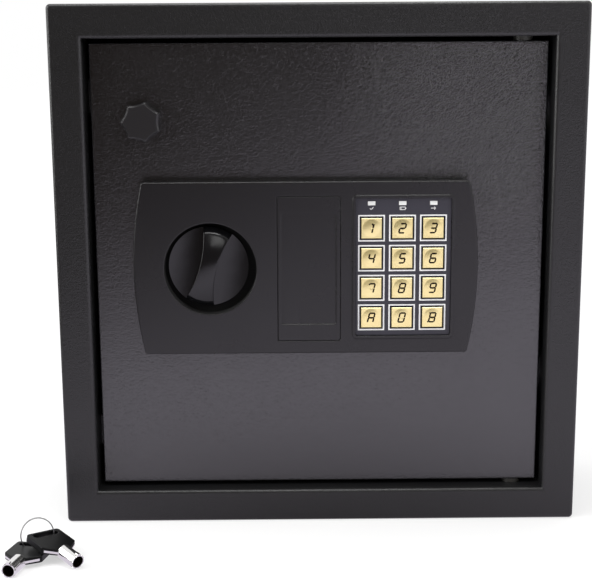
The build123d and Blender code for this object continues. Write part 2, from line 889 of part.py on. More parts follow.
# Keypad buttons: square caps with a low dome, a flange behind the plate and a stem
key_front = pad_front - key_proud
dome_ball = (key_dome_radius**2 + key_dome_rise**2) / (2 * key_dome_rise)
dome_angle = degrees(asin(key_dome_radius / dome_ball))
for button_label, (x, z) in zip(key_labels, button_places):
    with BuildPart() as keypad_button:
        with BuildSketch(front_at(flange_front)):
            with Locations((x, z)):
                Rectangle(key_flange, key_flange)
        extrude(amount=-key_flange_sheet)
        with BuildSketch(front_at(flange_front)):
            with Locations((x, z)):
                Rectangle(key_size, key_size)
        extrude(amount=flange_front - key_front)
        chamfer(keypad_button.faces().sort_by(Axis.Y)[0].edges(), key_edge)
        with BuildSketch(Plane.XY.offset(z)):
            with BuildLine():
                Polyline((x, key_front - key_dome_rise), (x, key_front), (x + key_dome_radius, key_front))
                CenterArc((x, key_front - key_dome_rise + dome_ball), dome_ball, -90, dome_angle)
            make_face()
        revolve(axis=Axis((x, key_front, z), (0, 1, 0)))
        stem_front = flange_front + key_flange_sheet
        with BuildSketch(front_at(stem_front)):
            with Locations((x, z)):
                Circle(key_stem_radius)
        extrude(amount=-(switch_top - key_travel - switch_gap - stem_front))
    save(keypad_button.part, f"keypad_button_{button_label}")

# Control board on four posts behind the keypad
post_x = control_width / 2 - control_post_inset
post_z = control_height / 2 - control_post_inset
with BuildPart() as control_board:
    with BuildSketch(front_at(control_front)):
        with Locations((control_x, control_z)):
            Rectangle(control_width, control_height)
    extrude(amount=-board_sheet)
    with BuildSketch(front_at(door_back)):
        with Locations((control_x, control_z)):
            with GridLocations(2 * post_x, 2 * post_z, 2, 2):
                Circle(control_post_radius)
    extrude(amount=-control_standoff)
save(control_board.part, "control_board")

# Solenoid frame: a folded band fixed to the back of the door
with BuildPart() as solenoid_frame:
    with BuildSketch(Plane.YZ.offset(solenoid_x - solenoid_width / 2)):
        with Locations((door_back, solenoid_bottom)):
            Rectangle(solenoid_back - door_back, solenoid_height, align=(Align.MIN, Align.MIN))
        with Locations((door_back + solenoid_sheet, solenoid_bottom + solenoid_sheet)):
            Rectangle(
                solenoid_back - door_back - 2 * solenoid_sheet,
                solenoid_height - 2 * solenoid_sheet,
                align=(Align.MIN, Align.MIN),
                mode=Mode.SUBTRACT,
            )
    extrude(amount=solenoid_width)
    with BuildSketch(Plane.XY.offset(solenoid_bottom)):
        with Locations((solenoid_x, plunger_y)):
            Circle(plunger_radius + plunger_clearance)
    extrude(amount=solenoid_height, mode=Mode.SUBTRACT)
save(solenoid_frame.part, "solenoid_frame")

# Solenoid coil round the plunger
with BuildPart() as solenoid_coil:
    with BuildSketch(Plane.XY.offset(solenoid_bottom + solenoid_sheet)):
        with Locations((solenoid_x, plunger_y)):
            Circle(coil_radius)
            Circle(plunger_radius + plunger_clearance, mode=Mode.SUBTRACT)
    extrude(amount=solenoid_height - 2 * solenoid_sheet)
save(solenoid_coil.part, "solenoid_coil")

# Solenoid plunger with its spring collar below and its lift tab above
plunger_bottom = carriage_top + plunger_rest_gap
collar_bottom = carriage_top + collar_above_carriage
lift_tab_top = lift_tab_bottom + lift_tab_sheet
with BuildPart() as solenoid_plunger:
    with BuildSketch(Plane.XY.offset(plunger_bottom)):
        with Locations((solenoid_x, plunger_y)):
            Circle(plunger_radius)
    extrude(amount=lift_tab_top - plunger_bottom)
    with BuildSketch(Plane.XY.offset(collar_bottom)):
        with Locations((solenoid_x, plunger_y)):
            Circle(collar_radius)
    extrude(amount=collar_thickness)
    with BuildSketch(Plane.XY.offset(lift_tab_bottom)):
        with Locations((solenoid_x + lift_tab_width / 2, plunger_y)):
            Rectangle(
                lift_tab_reach + lift_tab_width / 2, lift_tab_width, align=(Align.MAX, Align.CENTER)
            )
    extrude(amount=lift_tab_sheet)
save(solenoid_plunger.part, "solenoid_plunger")

# Spring between the collar and the solenoid frame
spring_bottom = collar_bottom + collar_thickness + spring_wire
spring_height = solenoid_bottom - spring_wire - spring_bottom
with BuildPart() as plunger_spring:
    with BuildLine() as spring_line:
        Helix(
            pitch=spring_height / spring_turns,
            height=spring_height,
            radius=spring_radius,
            center=(solenoid_x, plunger_y, spring_bottom),
        )
    with BuildSketch(Plane(spring_line.line @ 0, z_dir=spring_line.line % 0)):
        Circle(spring_wire)
    sweep(is_frenet=True)
save(plunger_spring.part, "plunger_spring")

# Bolt guide: an angle on the door, bored for both bolts
with BuildPart() as bolt_guide:
    guide_bottom = bolt_levels[0] - bolt_radius - guide_margin
    guide_top = bolt_levels[1] + bolt_radius + guide_margin
    with BuildSketch(Plane.XY.offset(guide_bottom)):
        with Locations((guide_left, door_back)):
            Rectangle(
                guide_sheet,
                bolt_y + bolt_radius + guide_margin - door_back,
                align=(Align.MIN, Align.MIN),
            )
            Rectangle(guide_sheet + guide_foot, guide_sheet, align=(Align.MIN, Align.MIN))
    extrude(amount=guide_top - guide_bottom)
    with BuildSketch(Plane.YZ.offset(guide_left)):
        with Locations(*[(bolt_y, z) for z in bolt_levels]):
            Circle(bolt_radius + guide_clearance)
    extrude(amount=guide_sheet, mode=Mode.SUBTRACT)
save(bolt_guide.part, "bolt_guide")

# Bolt carriage: a plate with long slots for the studs, an upright slot for the drive pin,
# a flange that carries the bolts and a flange with two holes for the plunger
stud_columns = (carriage_left + stud_inset, carriage_right - stud_inset_right)
stud_rows = (carriage_bottom + stud_inset_rows, carriage_top - stud_inset_rows)
stud_places = [(x, z) for x in stud_columns for z in stud_rows]
with BuildPart() as bolt_carriage:
    carriage_size = (carriage_right - carriage_left, carriage_top - carriage_bottom)
    with BuildSketch(front_at(carriage_front)):
        with Locations((carriage_left, carriage_bottom)):
            Rectangle(*carriage_size, align=(Align.MIN, Align.MIN))
    extrude(amount=-(carriage_sheet + carriage_flange_depth))
    with BuildSketch(front_at(carriage_back)):
        with Locations((carriage_left + carriage_sheet, carriage_bottom)):
            Rectangle(
                carriage_size[0] - carriage_sheet,
                carriage_size[1] - carriage_sheet,
                align=(Align.MIN, Align.MIN),
            )
    extrude(amount=-carriage_flange_depth, mode=Mode.SUBTRACT)
    slot_radius = stud_radius + stud_clearance
    with BuildSketch(front_at(carriage_front)):
        with Locations(*[(x + bolt_travel / 2, z) for x, z in stud_places]):
            SlotCenterToCenter(bolt_travel, 2 * slot_radius)
        drive_slot_radius = drive_pin_radius + drive_slot_play
        with Locations((knob_x + drive_offset, knob_z - (drive_radius + drive_offset) / 2)):
            SlotCenterToCenter(
                drive_radius - drive_offset + 2 * drive_slot_play,
                2 * drive_slot_radius,
                rotation=90,
            )
    extrude(amount=-carriage_sheet, mode=Mode.SUBTRACT)
    with BuildSketch(Plane.XY.offset(carriage_top - carriage_sheet)):
        with Locations((solenoid_x, plunger_y), (solenoid_x + bolt_travel, plunger_y)):
            Circle(plunger_radius + plunger_hole_clearance)
    extrude(amount=carriage_sheet, mode=Mode.SUBTRACT)
    with BuildSketch(Plane.YZ.offset(carriage_left)):
        with Locations(*[(bolt_y, z) for z in bolt_levels]):
            Circle(bolt_shank_radius + press_clearance)
    extrude(amount=carriage_sheet, mode=Mode.SUBTRACT)
save(bolt_carriage.part, "bolt_carriage")

# Locking bolts, riveted into the side flange of the carriage
with BuildPart() as locking_bolts:
    for z in bolt_levels:
        with BuildSketch(Plane.YZ.offset(bolt_tip)):
            with Locations((bolt_y, z)):
                Circle(bolt_radius)
        extrude(amount=carriage_left - bolt_tip)
        with BuildSketch(Plane.YZ.offset(carriage_left)):
            with Locations((bolt_y, z)):
                Circle(bolt_shank_radius)
        extrude(amount=carriage_sheet)
        with BuildSketch(Plane.YZ.offset(carriage_left + carriage_sheet)):
            with Locations((bolt_y, z)):
                Circle(bolt_rivet_radius)
        extrude(amount=bolt_rivet)
    chamfer(locking_bolts.faces().filter_by(Axis.X).group_by(Axis.X)[0].edges(), bolt_nose)
save(locking_bolts.part, "locking_bolts")

# Carriage studs with their collars and clips
stud_end = carriage_back + 2 * clip_play + 2 * clip_thickness
with BuildPart() as carriage_studs:
    with BuildSketch(front_at(door_back)):
        with Locations(*stud_places):
            Circle(stud_collar_radius)
    extrude(amount=-(carriage_behind_door - clip_play))
    with BuildSketch(front_at(door_back)):
        with Locations(*stud_places):
            Circle(stud_radius)
    extrude(amount=-(stud_end - door_back))
    with BuildSketch(front_at(carriage_back + clip_play)):
        with Locations(*stud_places):
            Circle(stud_collar_radius)
    extrude(amount=-clip_thickness)
save(carriage_studs.part, "carriage_studs")

# Knob: a low domed disc, cut on both sides to leave a waisted grip between dipped flanks
tilt = radians(knob_tilt)
knob_face = Plane(
    (knob_x, knob_back, knob_z), x_dir=(cos(tilt), 0, -sin(tilt)), z_dir=(0, -1, 0)
)
knob_profile = Plane(knob_face.origin, x_dir=knob_face.x_dir, z_dir=-knob_face.y_dir)
knob_peak = knob_rise + knob_crown
crown_ball = (knob_top_radius**2 + knob_crown**2) / (2 * knob_crown)
crown_angle = degrees(asin(knob_top_radius / crown_ball))
scoop_x = knob_waist / 2 + knob_scoop_radius
flank_reach = (knob_radius - knob_waist / 2) / 2
flank_x = knob_waist / 2 + flank_reach
flank_roll = (flank_reach**2 + flank_dip**2) / (2 * flank_dip)
with BuildPart() as knob_scoops:
    with BuildSketch(knob_face):
        with Locations((scoop_x, 0), (-scoop_x, 0)):
            Circle(knob_scoop_radius)
    extrude(amount=knob_peak)
    with BuildSketch(knob_profile):
        with Locations(*[(side * flank_x, knob_rim - flank_dip + flank_roll) for side in (-1, 1)]):
            Circle(flank_roll)
    extrude(amount=knob_radius, both=True, mode=Mode.INTERSECT)
with BuildPart() as knob:
    with BuildSketch(knob_profile):
        with BuildLine():
            Polyline(
                (0, 0),
                (knob_radius, 0),
                (knob_radius, knob_rim),
                (knob_top_radius, knob_rise),
            )
            CenterArc((0, knob_peak - crown_ball), crown_ball, 90 - crown_angle, crown_angle)
            Line((0, knob_peak), (0, 0))
        make_face()
    revolve(axis=Axis(knob_face.origin, knob_face.z_dir))
    add(knob_scoops.part, mode=Mode.SUBTRACT)
    fillet(knob.faces().filter_by(GeomType.SPHERE).edges(), knob_edge_round)
    with BuildSketch(knob_face):
        Circle(shaft_radius + press_clearance)
        with Locations((shaft_flat + press_clearance, 0)):
            Rectangle(
                shaft_radius, 3 * shaft_radius, align=(Align.MIN, Align.CENTER), mode=Mode.SUBTRACT
            )
    extrude(amount=shaft_in_knob, mode=Mode.SUBTRACT)
save(knob.part, "knob")

# Drive shaft: flatted where it enters the knob, round through the panel and the door
with BuildPart() as drive_shaft:
    with BuildSketch(knob_face):
        Circle(shaft_radius)
    extrude(amount=-(cam_back - knob_back))
    with BuildSketch(knob_face):
        Circle(shaft_radius)
        with Locations((shaft_flat, 0)):
            Rectangle(
                shaft_radius, 3 * shaft_radius, align=(Align.MIN, Align.CENTER), mode=Mode.SUBTRACT
            )
    extrude(amount=shaft_in_knob)
save(drive_shaft.part, "drive_shaft")

# Drive cam: a disc on the shaft with the pin that works the carriage
with BuildPart() as drive_cam:
    with BuildSketch(front_at(cam_front)):
        with Locations((knob_x, knob_z)):
            Circle(cam_radius)
            Circle(shaft_radius + press_clearance, mode=Mode.SUBTRACT)
    extrude(amount=-cam_thickness)
    with BuildSketch(front_at(cam_back)):
        with Locations((knob_x + drive_offset, knob_z - drive_offset)):
            Circle(drive_pin_radius)
    extrude(amount=-(carriage_back + drive_pin_past - cam_back))
save(drive_cam.part, "drive_cam")

# Override lock body: head, barrel and the ring side of its keyway
with BuildPart() as override_lock_body:
    with BuildSketch(front_at(lock_front)):
        with Locations((override_x, override_z)):
            Circle(lock_head_radius)
    extrude(amount=-lock_head)
    with BuildSketch(front_at(door_front)):
        with Locations((override_x, override_z)):
            Circle(lock_barrel_radius)
    extrude(amount=-lock_length)
    with BuildSketch(front_at(lock_front)):
        with Locations((override_x, override_z)):
            Circle(core_radius + core_clearance)
    extrude(amount=-(lock_head + lock_length - core_shoulder), mode=Mode.SUBTRACT)
    with BuildSketch(front_at(lock_front)):
        with Locations((override_x, override_z)):
            Circle(core_back_radius + core_clearance)
    extrude(amount=-(lock_head + lock_length), mode=Mode.SUBTRACT)
save(override_lock_body.part, "override_lock_body")

# Override lock core: round keyway in front, shoulder and square-ended tail behind
tail_end = lock_back + cam_arm_gap + cam_arm_sheet
with BuildPart() as override_lock_core:
    with BuildSketch(front_at(lock_front)):
        with Locations((override_x, override_z)):
            Circle(core_radius)
    extrude(amount=-(lock_head + lock_length - core_shoulder - core_clearance))
    with BuildSketch(front_at(lock_front)):
        with Locations((override_x, override_z)):
            Circle(core_back_radius)
    extrude(amount=-(tail_end - lock_front))
    with BuildSketch(front_at(lock_front)):
        with Locations((override_x, override_z)):
            Circle(keyway_outer)
            Circle(keyway_inner, mode=Mode.SUBTRACT)
        with Locations((override_x, override_z + keyway_inner)):
            Rectangle(
                key_nub_slot, core_radius - keyway_inner, align=(Align.CENTER, Align.MIN)
            )
    extrude(amount=-keyway_depth, mode=Mode.SUBTRACT)
save(override_lock_core.part, "override_lock_core")

# Override cam: the arm on the core's tail that lifts the plunger's tab, with its screw
with BuildPart() as override_cam:
    with BuildSketch(front_at(lock_back + cam_arm_gap)):
        with Locations((override_x, override_z - cam_arm_length / 2)):
            SlotCenterToCenter(cam_arm_length, cam_arm_width, rotation=90)
        with Locations((override_x, override_z)):
            Circle(cam_arm_boss_radius)
            Circle(core_back_radius + press_clearance, mode=Mode.SUBTRACT)
    extrude(amount=-cam_arm_sheet)
    with BuildSketch(front_at(tail_end)):
        with Locations((override_x, override_z)):
            Circle(cam_arm_screw_radius)
    extrude(amount=-cam_arm_screw)
save(override_cam.part, "override_cam")

# Override lock nut behind the door
with BuildPart() as override_lock_nut:
    with BuildSketch(front_at(door_back)):
        with Locations((override_x, override_z)):
            RegularPolygon(lock_nut_radius, 6)
            Circle(lock_barrel_radius + press_clearance, mode=Mode.SUBTRACT)
    extrude(amount=-lock_nut)
save(override_lock_nut.part, "override_lock_nut")

# Override cap: a lobed hollow cap over the lock's head, one lobe pointing left
cap_front = cap_back - cap_depth
with BuildPart() as override_cap:
    with BuildSketch(front_at(cap_back)) as cap_outline:
        with Locations((override_x, override_z)):
            Circle(cap_radius)
            scallop_circle = cap_radius - cap_scallop_depth + cap_scallop_radius
            with PolarLocations(scallop_circle, cap_lobes, start_angle=180 / cap_lobes + 180):
                Circle(cap_scallop_radius, mode=Mode.SUBTRACT)
        fillet(cap_outline.vertices(), cap_lobe_round)
    extrude(amount=cap_depth)
    chamfer(override_cap.faces().sort_by(Axis.Y)[0].edges(), cap_edge)
    with BuildSketch(front_at(cap_back)):
        with Locations((override_x, override_z)):
            Circle(lock_head_radius + cap_clearance)
    extrude(amount=cap_depth - cap_floor, mode=Mode.SUBTRACT)
save(override_cap.part, "override_cap")

# Inner cover: a shallow box over the works on the back of the door
inner_post_x = inner_width / 2 - cover_post_inset
inner_post_z = inner_height / 2 - cover_post_inset
with BuildPart() as inner_cover:
    with BuildSketch(front_at(door_back)):
        with Locations((inner_x, inner_z)):
            RectangleRounded(inner_width, inner_height, inner_corner)
    extrude(amount=-inner_depth)
    fillet(inner_cover.faces().sort_by(Axis.Y)[-1].edges(), inner_corner / 2)
    with BuildSketch(front_at(door_back)):
        with Locations((inner_x, inner_z)):
            RectangleRounded(
                inner_width - 2 * inner_sheet,
                inner_height - 2 * inner_sheet,
                inner_corner - inner_sheet,
            )
    extrude(amount=-(inner_depth - inner_sheet), mode=Mode.SUBTRACT)
    with BuildSketch(Plane.YZ.offset(inner_left)):
        with Locations(*[(bolt_y, z) for z in bolt_levels]):
            Circle(bolt_radius + cover_bolt_clearance)
    extrude(amount=inner_sheet, mode=Mode.SUBTRACT)
    with BuildSketch(front_at(inner_face)):
        with Locations((inner_x, inner_z)):
            with GridLocations(2 * inner_post_x, 2 * inner_post_z, 2, 2):
                Circle(screw_radius + screw_clearance)
        with Locations((reset_x, reset_z)):
            Circle(reset_radius + reset_clearance)
    extrude(amount=-inner_sheet, mode=Mode.SUBTRACT)
save(inner_cover.part, "inner_cover")

# Posts that carry the inner cover
with BuildPart() as cover_posts:
    with BuildSketch(front_at(door_back)):
        with Locations((inner_x, inner_z)):
            with GridLocations(2 * inner_post_x, 2 * inner_post_z, 2, 2):
                Circle(cover_post_radius)
    extrude(amount=-(inner_face - door_back))
    with BuildSketch(front_at(inner_face)):
        with Locations((inner_x, inner_z)):
            with GridLocations(2 * inner_post_x, 2 * inner_post_z, 2, 2):
                Circle(screw_radius + press_clearance)
    extrude(amount=screw_length - inner_sheet, mode=Mode.SUBTRACT)
save(cover_posts.part, "cover_posts")

# Screws through the inner cover into the posts
with BuildPart() as cover_screws:
    with BuildSketch(front_at(inner_back)):
        with Locations((inner_x, inner_z)):
            with GridLocations(2 * inner_post_x, 2 * inner_post_z, 2, 2):
                Circle(screw_head_radius)
    extrude(amount=-screw_head)
    fillet(cover_screws.faces().filter_by(Axis.Y).group_by(Axis.Y)[-1].edges(), screw_head / 2)
    with BuildSketch(front_at(inner_back)):
        with Locations((inner_x, inner_z)):
            with GridLocations(2 * inner_post_x, 2 * inner_post_z, 2, 2):
                Circle(screw_radius)
    extrude(amount=screw_length)
save(cover_screws.part, "cover_screws")

# Reset switch: a cup behind the inner cover that holds the reset button
with BuildPart() as reset_switch:
    with BuildSketch(front_at(inner_face)):
        with Locations((reset_x, reset_z)):
            Circle(reset_cup_radius)
    extrude(amount=reset_cup_depth)
    with BuildSketch(front_at(inner_face)):
        with Locations((reset_x, reset_z)):
            Circle(reset_flange_radius + reset_clearance)
    extrude(amount=reset_flange + reset_travel + 2 * reset_clearance, mode=Mode.SUBTRACT)
save(reset_switch.part, "reset_switch")

# Reset button, kept in by its flange
with BuildPart() as reset_button:
    with BuildSketch(front_at(inner_face - key_play)):
        with Locations((reset_x, reset_z)):
            Circle(reset_flange_radius)
    extrude(amount=reset_flange)
    with BuildSketch(front_at(inner_face - key_play)):
        with Locations((reset_x, reset_z)):
            Circle(reset_radius)
    extrude(amount=-(inner_sheet + key_play + reset_proud))
save(reset_button.part, "reset_button")


def key_plane(tip_place, heading, tilt_angle, roll_angle):
    turn, rise, roll = radians(heading), radians(tilt_angle), radians(roll_angle)
    along = Vector(-cos(turn) * cos(rise), -sin(turn) * cos(rise), sin(rise))
    upright = Vector(cos(turn) * sin(rise), sin(turn) * sin(rise), cos(rise))
    up = upright * cos(roll) + upright.cross(along) * sin(roll)
    tip = Vector(*tip_place, key_barrel_radius * cos(rise))
    return Plane(tip, x_dir=along, z_dir=up)


# Override keys: tubular barrels with a shoulder plate that carries the moulded bow
key_planes = [
    key_plane(flat_key_tip, flat_key_heading, flat_key_tilt, 0),
    key_plane(raised_key_tip, raised_key_heading, raised_key_tilt, raised_key_roll),
]
bow_front = key_barrel_length + bow_shoulder
bow_back = key_barrel_length + bow_length
shoulder_front = key_barrel_length - shoulder_proud
shoulder_half = bow_width / 2 - shoulder_side_inset
with BuildPart() as key_barrels:
    for plane in key_planes:
        barrel_plane = Plane(plane.origin, x_dir=plane.z_dir, z_dir=plane.x_dir)
        with BuildSketch(barrel_plane):
            Circle(key_barrel_radius)
        extrude(amount=key_barrel_length)
        with BuildSketch(plane.offset(-shoulder_sheet / 2)):
            with BuildLine():
                Polyline(
                    (shoulder_front, -key_barrel_radius),
                    (shoulder_front + bow_shoulder, -shoulder_half),
                    (bow_front + shoulder_depth, -shoulder_half),
                    (bow_front + shoulder_depth, shoulder_half),
                    (shoulder_front + bow_shoulder, shoulder_half),
                    (shoulder_front, key_barrel_radius),
                    close=True,
                )
            make_face()
        extrude(amount=shoulder_sheet)
        with BuildSketch(barrel_plane):
            Circle(key_barrel_bore)
        extrude(amount=key_barrel_bore_depth, mode=Mode.SUBTRACT)
        with BuildSketch(barrel_plane):
            with Locations((key_barrel_radius - press_clearance, 0)):
                Rectangle(key_blade_proud, key_blade_sheet, align=(Align.MIN, Align.CENTER))
        extrude(amount=key_nub_length)
        with BuildSketch(barrel_plane):
            with PolarLocations(key_barrel_radius, key_bitting_cuts, 180 / key_bitting_cuts):
                Circle(key_bitting_radius)
        extrude(amount=key_bitting_length, mode=Mode.SUBTRACT)
save(key_barrels.part, "key_barrels")

with BuildPart() as key_bows:
    for plane in key_planes:
        with BuildSketch(plane.offset(-bow_thickness / 2)) as bow_outline:
            with BuildLine():
                Polyline(
                    (key_barrel_length, -key_barrel_radius),
                    (bow_front, -bow_width / 2),
                    (bow_back, -bow_far_width / 2),
                    (bow_back, bow_far_width / 2),
                    (bow_front, bow_width / 2),
                    (key_barrel_length, key_barrel_radius),
                    close=True,
                )
            make_face()
            fillet(bow_outline.vertices(), bow_round)
            with Locations((bow_back - bow_slot_inset, 0)):
                SlotOverall(bow_slot_length, bow_slot_width, rotation=90, mode=Mode.SUBTRACT)
        extrude(amount=bow_thickness)
        fillet(key_bows.faces().filter_by(plane).edges(), bow_edge_round)
    add(key_barrels.part, mode=Mode.SUBTRACT)
save(key_bows.part, "key_bows")

# Key ring through the slots of both bows
turn, lean = radians(ring_turn), radians(ring_lean)
ring_normal = (sin(turn) * cos(lean), -cos(turn) * cos(lean), sin(lean))
with BuildPart(Plane((ring_x, ring_y, ring_z), z_dir=ring_normal)) as key_ring:
    Torus(ring_radius, ring_wire)
save(key_ring.part, "key_ring")
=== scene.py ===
# Electronic key cabinet: finishes, keypad prints, knob, key ring, stage, lamps and camera, built on the
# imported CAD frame. Sizes in the dictionaries are in millimetres and angles in degrees, unless a note says
# otherwise.
import bmesh
import bpy
from math import cos, pi, radians, sin
from mathutils import Matrix, Vector


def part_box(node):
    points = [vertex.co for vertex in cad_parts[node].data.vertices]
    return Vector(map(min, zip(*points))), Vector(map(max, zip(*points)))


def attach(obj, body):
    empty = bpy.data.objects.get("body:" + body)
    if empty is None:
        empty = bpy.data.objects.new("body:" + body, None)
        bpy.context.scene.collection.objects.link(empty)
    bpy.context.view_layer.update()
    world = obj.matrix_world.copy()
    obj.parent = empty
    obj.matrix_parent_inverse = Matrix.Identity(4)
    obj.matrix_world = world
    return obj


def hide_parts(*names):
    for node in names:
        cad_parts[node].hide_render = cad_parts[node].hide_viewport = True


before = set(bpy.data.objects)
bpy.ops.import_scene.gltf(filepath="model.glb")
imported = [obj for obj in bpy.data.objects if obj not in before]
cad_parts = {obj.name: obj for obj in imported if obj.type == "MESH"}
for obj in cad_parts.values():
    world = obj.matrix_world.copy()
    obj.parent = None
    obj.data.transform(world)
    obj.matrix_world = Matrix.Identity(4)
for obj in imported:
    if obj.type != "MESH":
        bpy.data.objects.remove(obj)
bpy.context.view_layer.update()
scene = bpy.context.scene
scene.view_settings.view_transform = "Standard"
mm = 0.001
white = (1, 1, 1, 1)


# The linear colour of an sRGB hex value
def linear(hexColour):
    parts = [int(hexColour[i:i + 2], 16) / 255 for i in (1, 3, 5)]
    return [p / 12.92 if p <= 0.04045 else ((p + 0.055) / 1.055) ** 2.4 for p in parts] + [1.0]


# A node with its settings, its sockets' values and its incoming links. A Mix node's two colours are its
# sockets 6 and 7, its two numbers 2 and 3, and its share is socket 0.
def addNode(tree, kind, values=None, links=None, **settings):
    node = tree.nodes.new(kind)
    for key, value in settings.items():
        setattr(node, key, value)
    for key, value in (values or {}).items():
        node.inputs[key].default_value = value
    for key, source in (links or {}).items():
        tree.links.new(source, node.inputs[key])
    return node


# What all the finishes share: how broken up the patches and the grain are, and how finely edges are rounded
skinLook = {"patchDetail": 3.0, "grainDetail": 1.0, "edgeSamples": 4}


# A material with its shader, two close shades in soft patches and a roughness that wanders with them.
# With an edge radius, the light runs round the piece's sharp edges as round a coat or a moulded corner.
def startMaterial(name, look):
    material = bpy.data.materials.new(name)
    material.use_nodes = True
    tree = material.node_tree
    tree.nodes.clear()
    shader = addNode(tree, "ShaderNodeBsdfPrincipled",
                     {"Metallic": look.get("metallic", 0.0), "IOR": look.get("ior", 1.5)})
    addNode(tree, "ShaderNodeOutputMaterial", links={"Surface": shader.outputs[0]})
    place = addNode(tree, "ShaderNodeTexCoord").outputs["Object"]
    patches = addNode(tree, "ShaderNodeTexNoise",
                      {"Scale": 1 / (look["patch"] * mm), "Detail": skinLook["patchDetail"]},
                      {"Vector": place})
    shade = addNode(tree, "ShaderNodeMix", {6: linear(look["colour"]), 7: linear(look["shade"])},
                    {0: patches.outputs["Fac"]}, data_type="RGBA")
    tree.links.new(shade.outputs[2], shader.inputs["Base Color"])
    gloss = addNode(tree, "ShaderNodeMapRange", {"To Min": look["rough"][0], "To Max": look["rough"][1]},
                    {"Value": patches.outputs["Fac"]})
    tree.links.new(gloss.outputs[0], shader.inputs["Roughness"])
    if "edge" in look:
        rounded = addNode(tree, "ShaderNodeBevel", {"Radius": look["edge"] * mm},
                          samples=skinLook["edgeSamples"])
        tree.links.new(rounded.outputs[0], shader.inputs["Normal"])
    return material, tree, shader, place


# Adds one relief of a given grain, height and swirl over the relief that is there
def addRelief(tree, shader, place, grain, height, swirl):
    texture = addNode(tree, "ShaderNodeTexNoise",
                      {"Scale": 1 / (grain * mm), "Detail": skinLook["grainDetail"], "Distortion": swirl},
                      {"Vector": place})
    bump = addNode(tree, "ShaderNodeBump", {"Strength": 1.0, "Distance": height * mm},
                   {"Height": texture.outputs["Fac"]})
    if shader.inputs["Normal"].is_linked:
        tree.links.new(shader.inputs["Normal"].links[0].from_socket, bump.inputs["Normal"])
    tree.links.new(bump.outputs[0], shader.inputs["Normal"])
    return bump


# Lays another colour over the finish where the share is 1
def overpaint(tree, shader, share, hexColour):
    colour = shader.inputs["Base Color"].links[0].from_socket
    shade = addNode(tree, "ShaderNodeMix", {7: linear(hexColour)}, {0: share, 6: colour}, data_type="RGBA")
    tree.links.new(shade.outputs[2], shader.inputs["Base Color"])


# How far a point is from an axis that runs from front to back through x and z, in metres
def axisDistance(tree, place, x, z):
    aside = addNode(tree, "ShaderNodeVectorMath", {1: (x, 0, z)}, {0: place}, operation="SUBTRACT")
    aside = addNode(tree, "ShaderNodeVectorMath", {1: (1, 0, 1)}, {0: aside.outputs[0]}, operation="MULTIPLY")
    away = addNode(tree, "ShaderNodeVectorMath", links={0: aside.outputs[0]}, operation="LENGTH")
    return away.outputs["Value"]


